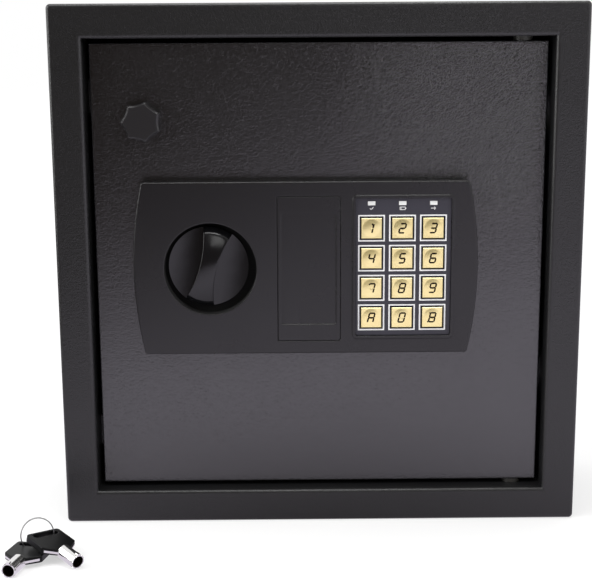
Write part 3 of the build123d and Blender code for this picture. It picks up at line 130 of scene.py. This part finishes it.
# Each finish has two close shades, the width of their patches, the range of its roughness, and its reliefs
# as grain, height and swirl
finishes = {
    # polyester powder coat with a leather texture, sprayed and baked: a dull black skin whose
    # pebbles, about 2 mm wide, catch a low light; the door's coat flowed out smoother and shines more
    "powderCoatBody": {"colour": "#1d1d1e", "shade": "#19191a", "patch": 60,
                       "rough": (0.28, 0.34), "ior": 1.55,
                       "reliefs": [(2.0, 0.17, 1.5), (0.8, 0.03, 1.0)], "edge": 1.2},
    "powderCoatDoor": {"colour": "#1e1e20", "shade": "#1a1a1c", "patch": 60,
                       "rough": (0.18, 0.24), "ior": 1.88,
                       "reliefs": [(2.0, 0.15, 1.5), (0.8, 0.03, 1.0)], "edge": 0.8},
    # moulded ABS with a spark-eroded skin: even, dull, very fine grain, drawn as coarse as it shows;
    # the lock panel has its own copy, which carries painted shade in the knob's well
    "matteAbsBlack": {"colour": "#171618", "shade": "#141315", "patch": 45, "rough": (0.24, 0.3), "ior": 1.52,
                      "reliefs": [(0.5, 0.02, 0.0)], "edge": 1.0},
    "panelAbsBlack": {"colour": "#171618", "shade": "#141315", "patch": 45, "rough": (0.24, 0.3), "ior": 1.52,
                      "reliefs": [(0.5, 0.02, 0.0)], "edge": 1.0},
    # the same ABS on the pull-off cap, its colour a little paler as painted light, with softer edges
    "capAbsBlackPaintedLight": {"colour": "#252426", "shade": "#212022", "patch": 20, "rough": (0.22, 0.28), "ior": 1.52,
                    "reliefs": [(0.5, 0.02, 0.0)], "edge": 1.2},
    # moulded ABS from a polished mould: deep black with clear reflections that waver a little
    "glossAbsBlack": {"colour": "#121214", "shade": "#0e0e10", "patch": 30, "rough": (0.14, 0.22),
                      "reliefs": [(7.0, 0.05, 0.0)]},
    # moulded nylon of the key bows: black, slightly greasy sheen
    "nylonBlack": {"colour": "#0c0c0d", "shade": "#09090a", "patch": 12, "rough": (0.3, 0.38), "ior": 1.24,
                   "reliefs": [(0.6, 0.02, 0.0)]},
    # screen-printed polycarbonate: dark slate, slightly frosted
    "slatePolycarbonate": {"colour": "#34333d", "shade": "#2f2e37", "patch": 25, "rough": (0.36, 0.44),
                           "reliefs": [(0.35, 0.006, 0.0)]},
    # gold-plated ABS with a satin skin: pale yellow where it mirrors something bright
    "goldPlatedAbs": {"colour": "#fdf0b4", "shade": "#fbe59f", "patch": 7, "rough": (0.16, 0.24),
                      "metallic": 0.7, "reliefs": [(0.4, 0.003, 0.0)]},
    # opal acrylic of the indicator lights: milky white and smooth
    "opalAcrylic": {"colour": "#f4f4f2", "shade": "#e6e7ea", "patch": 2, "rough": (0.2, 0.3)},
    # bright zinc plate on pressed steel: bluish grey with cloudy patches
    "zincPlate": {"colour": "#b9bcc0", "shade": "#a3a6a8", "patch": 6, "rough": (0.28, 0.42),
                  "metallic": 1.0, "reliefs": [(0.8, 0.006, 0.0)]},
    # chrome plate on turned brass: clear reflections, a little wavy from the turning
    "chromePlate": {"colour": "#e4e3e2", "shade": "#d8d7d8", "patch": 8, "rough": (0.1, 0.16),
                    "metallic": 1.0, "reliefs": [(1.2, 0.004, 0.0)]},
    # thicker chrome on the key barrels, brighter and polished by use
    "keyChrome": {"colour": "#eeedec", "shade": "#e2e1e0", "patch": 8, "rough": (0.08, 0.14),
                  "metallic": 1.0, "reliefs": [(1.2, 0.004, 0.0)]},
    # drawn spring wire: grey steel with fine draw marks
    "springWire": {"colour": "#a9a9a8", "shade": "#8f8f90", "patch": 3, "rough": (0.25, 0.35),
                   "metallic": 1.0, "reliefs": [(0.3, 0.004, 0.0)]},
    # glass-fibre board under green solder mask: a thin glossy skin over the weave
    "solderMaskGreen": {"colour": "#1c5a35", "shade": "#174c2d", "patch": 4, "rough": (0.3, 0.4),
                        "reliefs": [(0.6, 0.01, 0.0)]},
    # enamelled copper winding: reddish and bright, ridged by its turns
    "copperWinding": {"colour": "#b4622c", "shade": "#8e4a20", "patch": 2, "rough": (0.28, 0.36),
                      "metallic": 1.0, "reliefs": [(0.4, 0.06, 0.0)]},
    # shrink-wrapped cell: dark film, smooth, with soft waves
    "cellWrap": {"colour": "#2b2c31", "shade": "#242529", "patch": 12, "rough": (0.22, 0.3),
                 "reliefs": [(2.0, 0.01, 0.0)]},
    # red moulded nylon: even and slightly frosted
    "redNylon": {"colour": "#b3231c", "shade": "#a01d18", "patch": 4, "rough": (0.3, 0.4),
                 "reliefs": [(0.5, 0.01, 0.0)]},
    # machined brass: warm yellow with fine tool marks
    "machinedBrass": {"colour": "#cfa85b", "shade": "#b98f45", "patch": 5, "rough": (0.22, 0.34),
                      "metallic": 1.0, "reliefs": [(0.5, 0.006, 0.0)]},
    # nylon washer, painted dark grey brown as painted shade of the hinge gap it sits in, and dull
    "nylonPaintedShade": {"colour": "#3c3b38", "shade": "#33322f", "patch": 4, "rough": (0.4, 0.5),
                     "reliefs": [(0.6, 0.01, 0.0)]},
    # screen-printed white ink and pad-printed brown ink: flat and matt, the brown one without shine
    "whiteInk": {"colour": "#f4f4f4", "shade": "#ebebee", "patch": 3, "rough": (0.45, 0.55)},
    "brownInk": {"colour": "#120904", "shade": "#0c0602", "patch": 3, "rough": (0.5, 0.6), "ior": 1.2},
}


# The gold covers the middle of each button; round its edge the button is painted near black and non-metallic,
# as painted shade of the gap round it
gapShadeLook = {"half": 7.0, "edge": 0.1, "gapShadeColour": "#0b0b0c"}


def paintButtonGapShade(tree, shader, place, look):
    corner, beside, under = [(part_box(f"keypad_button_{n}")[0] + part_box(f"keypad_button_{n}")[1]) / 2
                             for n in "124"]
    axes = addNode(tree, "ShaderNodeSeparateXYZ", links={0: place}).outputs
    offs = []
    for axis, start, pitch in (("X", corner.x, beside.x - corner.x), ("Z", corner.z, corner.z - under.z)):
        off = addNode(tree, "ShaderNodeMath", {1: start}, {0: axes[axis]}, operation="SUBTRACT")
        off = addNode(tree, "ShaderNodeMath", {1: pitch / 2, 2: -pitch / 2}, {0: off.outputs[0]},
                      operation="WRAP")
        offs.append(addNode(tree, "ShaderNodeMath", links={0: off.outputs[0]},
                            operation="ABSOLUTE").outputs[0])
    off = addNode(tree, "ShaderNodeMath", links={0: offs[0], 1: offs[1]}, operation="MAXIMUM").outputs[0]
    reach = {"From Min": (look["half"] - look["edge"]) * mm, "From Max": (look["half"] + look["edge"]) * mm}
    gapShadeShare = addNode(tree, "ShaderNodeMapRange", reach, {"Value": off}).outputs[0]
    overpaint(tree, shader, gapShadeShare, look["gapShadeColour"])
    metal = addNode(tree, "ShaderNodeMapRange",
                    {**reach, "To Min": shader.inputs["Metallic"].default_value, "To Max": 0.0},
                    {"Value": off})
    tree.links.new(metal.outputs[0], shader.inputs["Metallic"])


# The knob's well is painted black and fully rough, as painted shade in the recess round the knob. Its middle
# lies a little to the right of the knob's shaft and below it.
wellShadeLook = {"right": 1.3, "below": 1.3, "radius": 32.3, "edge": 0.2, "paintedShade": "#020202", "rough": 1.0}


def paintWellShade(tree, shader, place, look):
    low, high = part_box("drive_shaft")
    middle = (low + high) / 2 + Vector((look["right"], 0, -look["below"])) * mm
    away = axisDistance(tree, place, middle.x, middle.z)
    inside = addNode(tree, "ShaderNodeMapRange",
                     {"From Min": (look["radius"] - look["edge"]) * mm, "From Max": look["radius"] * mm,
                      "To Min": 1.0, "To Max": 0.0}, {"Value": away}).outputs[0]
    overpaint(tree, shader, inside, look["paintedShade"])
    gloss = shader.inputs["Roughness"].links[0].from_socket
    rough = addNode(tree, "ShaderNodeMix", {3: look["rough"]}, {0: inside, 2: gloss}, data_type="FLOAT")
    tree.links.new(rough.outputs[0], shader.inputs["Roughness"])


# The bores of the tubular keys are painted dark and non-metallic, as painted shade inside the bores. Each key
# has the middle of its tip, the way its barrel points and how far the barrel rises towards the bow.
boreShadeLook = {"keys": [{"tip": (-204.4, -155.4, 4.9), "heading": -103.5, "rise": 0.0},
                     {"tip": (-161.6, -141.8, 4.826), "heading": -45.5, "rise": 10.0}],
            "radius": 4.0, "edge": 0.15, "depth": 9.5, "paintedShade": "#17100c"}


def paintBoreShade(tree, shader, place, look):
    bores = []
    for key in look["keys"]:
        heading, rise = radians(key["heading"]), radians(key["rise"])
        along = Vector((-cos(heading) * cos(rise), -sin(heading) * cos(rise), sin(rise)))
        fromTip = addNode(tree, "ShaderNodeVectorMath", {1: Vector(key["tip"]) * mm}, {0: place},
                          operation="SUBTRACT").outputs[0]
        deep = addNode(tree, "ShaderNodeVectorMath", {1: along}, {0: fromTip}, operation="DOT_PRODUCT")
        short = addNode(tree, "ShaderNodeMath", {1: look["depth"] * mm}, {0: deep.outputs["Value"]},
                        operation="LESS_THAN")
        aside = addNode(tree, "ShaderNodeVectorMath", {1: along}, {0: fromTip}, operation="CROSS_PRODUCT")
        away = addNode(tree, "ShaderNodeVectorMath", links={0: aside.outputs[0]}, operation="LENGTH")
        within = addNode(tree, "ShaderNodeMapRange",
                         {"From Min": look["radius"] * mm, "From Max": (look["radius"] + look["edge"]) * mm,
                          "To Min": 1.0, "To Max": 0.0}, {"Value": away.outputs["Value"]})
        bores.append(addNode(tree, "ShaderNodeMath", links={0: within.outputs[0], 1: short.outputs[0]},
                             operation="MULTIPLY").outputs[0])
    inside = addNode(tree, "ShaderNodeMath", links=dict(enumerate(bores)), operation="MAXIMUM").outputs[0]
    overpaint(tree, shader, inside, look["paintedShade"])
    metal = addNode(tree, "ShaderNodeMath", {0: shader.inputs["Metallic"].default_value}, {1: inside},
                    operation="SUBTRACT")
    tree.links.new(metal.outputs[0], shader.inputs["Metallic"])


# The door's coat went on heavier towards its upper right, so the pebbles stand out more there
heavyLook = {"x": 150, "z": 300, "full": 60, "gone": 170, "grain": 1.9, "height": 0.52, "swirl": 1.2}


def addHeavyCoat(tree, shader, place, look):
    away = axisDistance(tree, place, look["x"] * mm, look["z"] * mm)
    share = addNode(tree, "ShaderNodeMapRange",
                    {"From Min": look["full"] * mm, "From Max": look["gone"] * mm,
                     "To Min": 1.0, "To Max": 0.0},
                    {"Value": away}, interpolation_type="SMOOTHSTEP").outputs[0]
    bump = addRelief(tree, shader, place, look["grain"], look["height"], look["swirl"])
    tree.links.new(share, bump.inputs["Strength"])


paints, finishOf = {}, {}
for finish, look in finishes.items():
    paints[finish], tree, shader, place = startMaterial(finish, look)
    for grain, height, swirl in look.get("reliefs", []):
        addRelief(tree, shader, place, grain, height, swirl)
    finishOf[finish] = tree, shader, place
paintButtonGapShade(*finishOf["goldPlatedAbs"], gapShadeLook)
paintWellShade(*finishOf["panelAbsBlack"], wellShadeLook)
paintBoreShade(*finishOf["keyChrome"], boreShadeLook)
addHeavyCoat(*finishOf["powderCoatDoor"], heavyLook)

# The CAD nodes of each finish
paintOf = {
    "powderCoatBody": ["body_shell", "back_panel", "inner_cover", "rack_rails"]
                      + [f"key_bar_{n}" for n in range(1, 7)],
    "powderCoatDoor": ["door_panel"],
    "panelAbsBlack": ["lock_panel"],
    "matteAbsBlack": ["battery_tray", "battery_cover", "reset_switch"],
    "capAbsBlackPaintedLight": ["override_cap"],
    "glossAbsBlack": ["knob"],
    "nylonBlack": ["key_bows"],
    "slatePolycarbonate": ["keypad_plate"],
    "goldPlatedAbs": [f"keypad_button_{n}" for n in "1234567890ab"],
    "opalAcrylic": ["indicator_lights"],
    "zincPlate": ["key_hooks", "hinge_blocks", "hinge_pins", "panel_screws", "solenoid_frame",
                  "bolt_guide", "carriage_studs", "cover_posts", "cover_screws", "drive_shaft",
                  "drive_cam", "bolt_carriage", "solenoid_plunger", "override_cam"],
    "chromePlate": ["override_lock_body", "locking_bolts"],
    "keyChrome": ["key_barrels"],
    "springWire": ["battery_contacts", "plunger_spring", "key_ring"],
    "solderMaskGreen": ["keypad_board", "control_board"],
    "copperWinding": ["solenoid_coil"],
    "cellWrap": ["batteries"],
    "redNylon": ["reset_button"],
    "machinedBrass": ["override_lock_core", "override_lock_nut"],
    "nylonPaintedShade": ["hinge_washers"],
}
for paint, names in paintOf.items():
    for name in names:
        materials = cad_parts[name].data.materials
        materials.clear()
        materials.append(paints[paint])
print("finishes done")


# Makes an object of a bmesh, paints it and lets it ride on its body
def keepPiece(mesh, name, paint, body):
    data = bpy.data.meshes.new(name)
    mesh.to_mesh(data)
    mesh.free()
    piece = bpy.data.objects.new(name, data)
    scene.collection.objects.link(piece)
    data.materials.append(paints[paint])
    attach(piece, body)
    return piece


# One printed bar with pointed ends, its middle at x and z, turned in the print's plane. It rises above its
# ground by the film's rise and is sunk into it a little.
def addBar(mesh, x, z, length, stroke, turn, film):
    bar = bmesh.ops.create_cube(mesh, size=1.0)["verts"]
    bmesh.ops.scale(mesh, vec=(length, film["rise"] + film["sunk"], stroke), verts=bar)
    ends = [e for e in mesh.edges if e.verts[0] in bar and e.verts[1] in bar
            and abs(e.verts[0].co.y - e.verts[1].co.y) > film["rise"]]
    points = bmesh.ops.bevel(mesh, geom=ends, offset=film["point"] * stroke, segments=1, profile=0.5,
                             affect="EDGES", material=-1)["verts"]
    bar = list({v for v in bar + points if v.is_valid}
               | {w for v in points for e in v.link_edges for w in e.verts})
    bmesh.ops.rotate(mesh, verts=bar, cent=(0, 0, 0), matrix=Matrix.Rotation(radians(turn), 3, "Y"))
    bmesh.ops.translate(mesh, vec=(x, (film["sunk"] - film["rise"]) / 2, z), verts=bar)


# Printed characters of the buttons, drawn as seven slanted bars that follow the button's dome. The 7 has a
# hook, the 1 a flag and stands left of the middle, and the B has two feet.
printLook = {"height": 6.4, "width": 3.8, "stroke": 1.12, "gap": 0.2, "slant": 0.24,
             "dome": 55.1, "rise": 0.05, "sunk": 0.1, "point": 0.32,
             "hookDrop": 0.5, "hook": 1.2, "flagDrop": 0.5, "flagIn": 0.8, "flag": 1.6, "flagTurn": 40,
             "footOut": 0.5, "foot": 0.9, "oneLeft": 1.0}
barsOf = {"0": "abcdef", "1": "bci", "2": "abged", "3": "abgcd", "4": "fgbc", "5": "afgcd",
          "6": "afgecd", "7": "abch", "8": "abcdefg", "9": "abfgcd", "a": "abcefg", "b": "abcdefgjk"}


# The middle, length and turn of each bar
def barPlaces(look):
    w, h = look["width"] / 2, look["height"] / 2
    across, upright = look["width"] - look["gap"], h - look["gap"]
    return {"a": (0, h, across, 0), "g": (0, 0, across, 0), "d": (0, -h, across, 0),
            "f": (-w, h / 2, upright, 90), "b": (w, h / 2, upright, 90),
            "e": (-w, -h / 2, upright, 90), "c": (w, -h / 2, upright, 90),
            "h": (-w, h - look["hookDrop"], look["hook"], 90),
            "i": (w - look["flagIn"], h - look["flagDrop"], look["flag"], look["flagTurn"]),
            "j": (-w - look["footOut"], h, look["foot"], 0), "k": (-w - look["footOut"], -h, look["foot"], 0)}


barAt = barPlaces(printLook)
for label, bars in barsOf.items():
    low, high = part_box(f"keypad_button_{label}")
    middle = (low + high) / 2
    shift = printLook["oneLeft"] if label == "1" else 0.0
    glyph = bmesh.new()
    for bar in bars:
        x, z, length, turn = barAt[bar]
        addBar(glyph, x - shift, z, length, printLook["stroke"], turn, printLook)
    for v in glyph.verts:
        v.co.x += printLook["slant"] * v.co.z
        v.co.y += (v.co.x ** 2 + v.co.z ** 2) / (2 * printLook["dome"])
    bmesh.ops.transform(glyph, verts=glyph.verts,
                        matrix=Matrix.Translation((middle.x, low.y, middle.z)) @ Matrix.Scale(mm, 4))
    keepPiece(glyph, f"buttonPrint{label.upper()}", "brownInk", f"keypad_button_{label}")

# White frames printed round the buttons
frameLook = {"outer": 18.5, "line": 1.35, "rise": 0.04, "sunk": 0.1}
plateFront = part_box("keypad_plate")[0].y
frames = bmesh.new()
for label in barsOf:
    low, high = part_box(f"keypad_button_{label}")
    grid = bmesh.ops.create_grid(frames, x_segments=1, y_segments=1, size=frameLook["outer"] / 2)["verts"]
    pane = grid[0].link_faces[0]
    bmesh.ops.rotate(frames, verts=grid, cent=(0, 0, 0), matrix=Matrix.Rotation(pi / 2, 3, "X"))
    bmesh.ops.translate(frames, verts=grid, vec=(low + high) / (2 * mm) * Vector((1, 0, 1)))
    bmesh.ops.inset_region(frames, faces=[pane], thickness=frameLook["line"], use_boundary=True)
    bmesh.ops.delete(frames, geom=[pane], context="FACES_ONLY")
bmesh.ops.solidify(frames, geom=frames.faces[:], thickness=frameLook["rise"] + frameLook["sunk"])
bmesh.ops.recalc_face_normals(frames, faces=frames.faces)
front = min(v.co.y for v in frames.verts)
bmesh.ops.translate(frames, vec=(0, plateFront / mm - frameLook["rise"] - front, 0), verts=frames.verts)
bmesh.ops.scale(frames, vec=(mm, mm, mm), verts=frames.verts)
keepPiece(frames, "buttonFramePrints", "whiteInk", "door")

# Small signs under the three lights, above the buttons 1, 2 and 3: a tick, a battery nearly empty and an
# arrow. Each bar has its middle, length and turn.
signLook = {"below": 3.6, "stroke": 0.42, "rise": 0.04, "sunk": 0.1, "point": 0.2}
signBars = {"1": [(-0.75, -0.4, 1.4, 45), (0.4, 0.05, 2.5, -48)],
            "2": [(0, 0.9, 3.6, 0), (0, -0.9, 3.6, 0), (-1.8, 0, 2.2, 90), (1.8, 0, 2.2, 90),
                  (2.25, 0, 0.9, 90), (-1.1, 0, 1.2, 90)],
            "3": [(-0.2, 0, 3.2, 0), (0.95, 0.45, 1.5, 45), (0.95, -0.45, 1.5, -45)]}
low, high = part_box("indicator_lights")
signs = bmesh.new()
for label, bars in signBars.items():
    middle = (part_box(f"keypad_button_{label}")[0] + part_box(f"keypad_button_{label}")[1]) / (2 * mm)
    for x, z, length, turn in bars:
        addBar(signs, middle.x + x, (low.z + high.z) / (2 * mm) - signLook["below"] + z, length,
               signLook["stroke"], turn, signLook)
bmesh.ops.translate(signs, vec=(0, plateFront / mm, 0), verts=signs.verts)
bmesh.ops.scale(signs, vec=(mm, mm, mm), verts=signs.verts)
keepPiece(signs, "lightSigns", "whiteInk", "door")
print("keypad prints done")

# The knob again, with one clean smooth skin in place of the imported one's loose triangles. Edges steeper
# than the crease stay sharp.
knobLook = {"weld": 0.002, "crease": 25}
knobSkin = bmesh.new()
knobSkin.from_mesh(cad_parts["knob"].data)
bmesh.ops.remove_doubles(knobSkin, verts=knobSkin.verts, dist=knobLook["weld"] * mm)
for face in knobSkin.faces:
    face.smooth = True
for edge in knobSkin.edges:
    edge.smooth = edge.is_manifold and edge.calc_face_angle() < radians(knobLook["crease"])
turnKnob = keepPiece(knobSkin, "turnKnob", "glossAbsBlack", "knob")
if "custom_normal" in turnKnob.data.attributes:
    turnKnob.data.attributes.remove(turnKnob.data.attributes["custom_normal"])
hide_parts("knob")
print("knob done")

# Split ring of sprung wire, two turns side by side. Its axis is turned and leans back, and its ends lie at
# the start angle.
ringLook = {"at": (-193.4, -113.7, 12.75), "turn": 25.3, "lean": 10.0, "radius": 11.2, "wire": 0.38,
            "pitch": 0.76, "turns": 2, "steps": 56, "sides": 10, "start": 70}  # steps to one turn
ring = bmesh.new()
wire = bmesh.ops.create_circle(ring, segments=ringLook["sides"], radius=ringLook["wire"])["verts"]
bmesh.ops.rotate(ring, verts=wire, cent=(0, 0, 0), matrix=Matrix.Rotation(pi / 2, 3, "X"))
bmesh.ops.translate(ring, verts=wire, vec=(ringLook["radius"], 0, -ringLook["pitch"] * ringLook["turns"] / 2))
bmesh.ops.spin(ring, geom=ring.verts[:] + ring.edges[:], cent=(0, 0, 0), axis=(0, 0, 1),
               dvec=(0, 0, ringLook["pitch"] / ringLook["steps"]), angle=2 * pi * ringLook["turns"],
               steps=ringLook["steps"] * ringLook["turns"])
bmesh.ops.holes_fill(ring, edges=ring.edges, sides=ringLook["sides"])
bmesh.ops.recalc_face_normals(ring, faces=ring.faces)
for face in ring.faces:
    face.smooth = len(face.verts) == 4
turn, lean = radians(ringLook["turn"]), radians(ringLook["lean"])
normal = Vector((sin(turn) * cos(lean), -cos(turn) * cos(lean), sin(lean)))
bmesh.ops.transform(ring, verts=ring.verts, matrix=Matrix.Scale(mm, 4) @ Matrix.Translation(ringLook["at"])
                    @ normal.to_track_quat("Z", "Y").to_matrix().to_4x4()
                    @ Matrix.Rotation(radians(ringLook["start"]), 4, "Z"))
splitRing = keepPiece(ring, "splitRing", "springWire", "override_keys")
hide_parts("key_ring")
print("key ring done")


# Stage: a pale paper floor that keeps the shadow and turns white further out. The camera sees it white, and
# so do reflections near the cabinet, while far in front of it, beyond a slanting line, they see the dim room.
# Close under the cabinet the mirrored floor is darker, a painted contact shade. All reaches are in metres.
stageLook = {"size": 8.0, "paper": "#f0f0f0", "white": 1.1, "whiteShare": 0.5, "shadowReach": (0.5, 0.9),
             "glow": "#f7f0ff", "contactReach": (0.06, 0.34), "contactShade": 0.35,
             "roomShade": "#38291a", "roomReach": (0.05, 1.4), "lineSlope": 3.0, "lineStart": -0.3}


def makeFloorPaint(look):
    material = bpy.data.materials.new("paperFloor")
    material.use_nodes = True
    tree = material.node_tree
    tree.nodes.clear()
    place = addNode(tree, "ShaderNodeTexCoord").outputs["Object"]
    away = addNode(tree, "ShaderNodeVectorMath", links={0: place}, operation="LENGTH").outputs["Value"]
    near = addNode(tree, "ShaderNodeMapRange",
                   {"From Min": look["contactReach"][0], "From Max": look["contactReach"][1],
                    "To Min": look["contactShade"], "To Max": 1.0}, {"Value": away}).outputs[0]
    axes = addNode(tree, "ShaderNodeSeparateXYZ", links={0: place}).outputs
    aside = addNode(tree, "ShaderNodeMath", {1: look["lineStart"]}, {0: axes["X"]}, operation="SUBTRACT")
    ahead = addNode(tree, "ShaderNodeMath", {1: -1.0}, {0: axes["Y"]}, operation="MULTIPLY")
    far = addNode(tree, "ShaderNodeMath", {1: -look["lineSlope"]}, {0: aside.outputs[0], 2: ahead.outputs[0]},
                  operation="MULTIPLY_ADD").outputs[0]
    lit = addNode(tree, "ShaderNodeMapRange",
                  {"From Min": look["roomReach"][0], "From Max": look["roomReach"][1],
                   "To Min": 1.0, "To Max": 0.0}, {"Value": far}).outputs[0]
    lit = addNode(tree, "ShaderNodeMath", links={0: lit, 1: near}, operation="MULTIPLY").outputs[0]
    path = addNode(tree, "ShaderNodeLightPath").outputs
    shade = addNode(tree, "ShaderNodeMix", {6: linear(look["roomShade"]), 7: linear(look["glow"])}, {0: lit},
                    data_type="RGBA").outputs[2]
    shade = addNode(tree, "ShaderNodeMix", {7: white}, {0: path["Is Camera Ray"], 6: shade},
                    data_type="RGBA").outputs[2]
    glow = addNode(tree, "ShaderNodeEmission", {"Strength": look["white"]}, {"Color": shade})
    share = addNode(tree, "ShaderNodeMapRange",
                    {"From Min": look["shadowReach"][0], "From Max": look["shadowReach"][1],
                     "To Min": look["whiteShare"], "To Max": 1.0}, {"Value": away}).outputs[0]
    share = addNode(tree, "ShaderNodeMath", links={0: share, 1: path["Is Camera Ray"]},
                    operation="MULTIPLY").outputs[0]
    mirrored = addNode(tree, "ShaderNodeMath",
                       links={0: path["Is Glossy Ray"], 1: path["Is Transmission Ray"]},
                       operation="MAXIMUM").outputs[0]
    share = addNode(tree, "ShaderNodeMath", links={0: share, 1: mirrored}, operation="MAXIMUM").outputs[0]
    paper = addNode(tree, "ShaderNodeBsdfDiffuse", {"Color": linear(look["paper"])})
    mix = addNode(tree, "ShaderNodeMixShader", links={0: share, 1: paper.outputs[0], 2: glow.outputs[0]})
    addNode(tree, "ShaderNodeOutputMaterial", links={"Surface": mix.outputs[0]})
    return material


floorMesh = bmesh.new()
bmesh.ops.create_grid(floorMesh, x_segments=1, y_segments=1, size=stageLook["size"])
floorData = bpy.data.meshes.new("floor")
floorMesh.to_mesh(floorData)
floorMesh.free()
floor = bpy.data.objects.new("floor", floorData)
floorData.materials.append(makeFloorPaint(stageLook))
scene.collection.objects.link(floor)

# The room: white behind the cabinet and to the camera, dim in front of it, with a pale ceiling, a white card
# low on the right and another on the left. Each spread gives where the light starts and where it is full,
# along a ray's direction; the low card's is measured along a slant of X and Z.
roomLook = {"back": (-0.1, 0.25), "ceiling": (0.5, 0.85), "ceilingShare": 0.6,
            "lowCard": (0.45, 1.1), "slantX": 2.0, "slantZ": -2.5, "leftCard": (-0.7, -0.92)}
world = bpy.data.worlds.new("studioRoom")
scene.world = world
world.use_nodes = True
room = world.node_tree
room.nodes.clear()
path = addNode(room, "ShaderNodeLightPath").outputs
ray = addNode(room, "ShaderNodeSeparateXYZ",
              links={0: addNode(room, "ShaderNodeTexCoord").outputs["Generated"]}).outputs
slant = addNode(room, "ShaderNodeMath", {1: roomLook["slantZ"]}, {0: ray["Z"]}, operation="MULTIPLY")
slant = addNode(room, "ShaderNodeMath", {1: roomLook["slantX"]}, {0: ray["X"], 2: slant.outputs[0]},
                operation="MULTIPLY_ADD").outputs[0]
lit = path["Is Camera Ray"]
for spread, along, share in (("back", ray["Y"], 1.0), ("ceiling", ray["Z"], roomLook["ceilingShare"]),
                             ("lowCard", slant, 1.0), ("leftCard", ray["X"], 1.0)):
    start, full = roomLook[spread]
    patch = addNode(room, "ShaderNodeMapRange", {"From Min": start, "From Max": full, "To Max": share},
                    {"Value": along}, interpolation_type="SMOOTHSTEP").outputs[0]
    lit = addNode(room, "ShaderNodeMath", links={0: lit, 1: patch}, operation="MAXIMUM").outputs[0]
shade = addNode(room, "ShaderNodeMix", {6: linear(stageLook["roomShade"]), 7: white}, {0: lit},
                data_type="RGBA").outputs[2]
sky = addNode(room, "ShaderNodeBackground", {"Strength": 1.0}, {"Color": shade})
addNode(room, "ShaderNodeOutputWorld", links={"Surface": sky.outputs[0]})

# Soft square lamps, in metres and watts: the key lamp from the right, a fill lamp and a side lamp from the
# left, a soft box in front for the knob's highlight, one that grazes the front from the upper left, and one
# overhead
lampLook = {
    "keyLamp": {"at": (1.4, -1.15, 1.2), "aim": (0.0, 0.0, 0.2), "size": 0.9, "watts": 8},
    "fillLamp": {"at": (-1.5, -0.9, 0.9), "aim": (0.0, 0.0, 0.15), "size": 1.0, "watts": 8},
    "softBox": {"at": (0.17, -1.5, 0.92), "aim": (0.0, 0.0, 0.2), "size": 0.45, "watts": 1.3},
    "edgeLamp": {"at": (-1.1, -0.15, 1.0), "aim": (0.0, 0.0, 0.25), "size": 0.5, "watts": 4},
    "sideLamp": {"at": (-1.6, -0.42, 0.45), "aim": (0.0, 0.0, 0.2), "size": 0.9, "watts": 8},
    "topLamp": {"at": (0.0, -0.2, 1.7), "aim": (0.0, 0.0, 0.2), "size": 0.9, "watts": 14},
}
for name, look in lampLook.items():
    data = bpy.data.lights.new(name, "AREA")
    data.shape = "SQUARE"
    data.size = look["size"]
    data.energy = look["watts"]
    lamp = bpy.data.objects.new(name, data)
    lamp.location = look["at"]
    lamp.rotation_euler = (Vector(look["aim"]) - Vector(look["at"])).to_track_quat("-Z", "Y").to_euler()
    scene.collection.objects.link(lamp)
print("stage and lamps done")

# Camera: a little above the middle of the door, in metres, looking slightly down. The focal length is in
# pixels of the photograph's width.
cameraLook = {"at": (-0.021, -0.9132, 0.3405), "down": 11.366, "right": 0.293, "roll": 0.37,
              "focalPixels": 1250, "widthPixels": 592, "sensor": 36, "nearest": 0.01}
down, right, roll = (radians(cameraLook[k]) for k in ("down", "right", "roll"))
ahead = Vector((sin(right) * cos(down), cos(right) * cos(down), -sin(down)))
side = Vector((cos(right), -sin(right), 0))
below = ahead.cross(side)
side, below = cos(roll) * side + sin(roll) * below, -sin(roll) * side + cos(roll) * below
cameraData = bpy.data.cameras.new("camera")
cameraData.lens = cameraLook["focalPixels"] * cameraLook["sensor"] / cameraLook["widthPixels"]
cameraData.sensor_width = cameraLook["sensor"]
cameraData.clip_start = cameraLook["nearest"]
camera = bpy.data.objects.new("camera", cameraData)
camera.matrix_world = Matrix.Translation(cameraLook["at"]) @ Matrix(
    ((side.x, -below.x, -ahead.x), (side.y, -below.y, -ahead.y), (side.z, -below.z, -ahead.z))).to_4x4()
scene.collection.objects.link(camera)
scene.camera = camera
print("camera done")
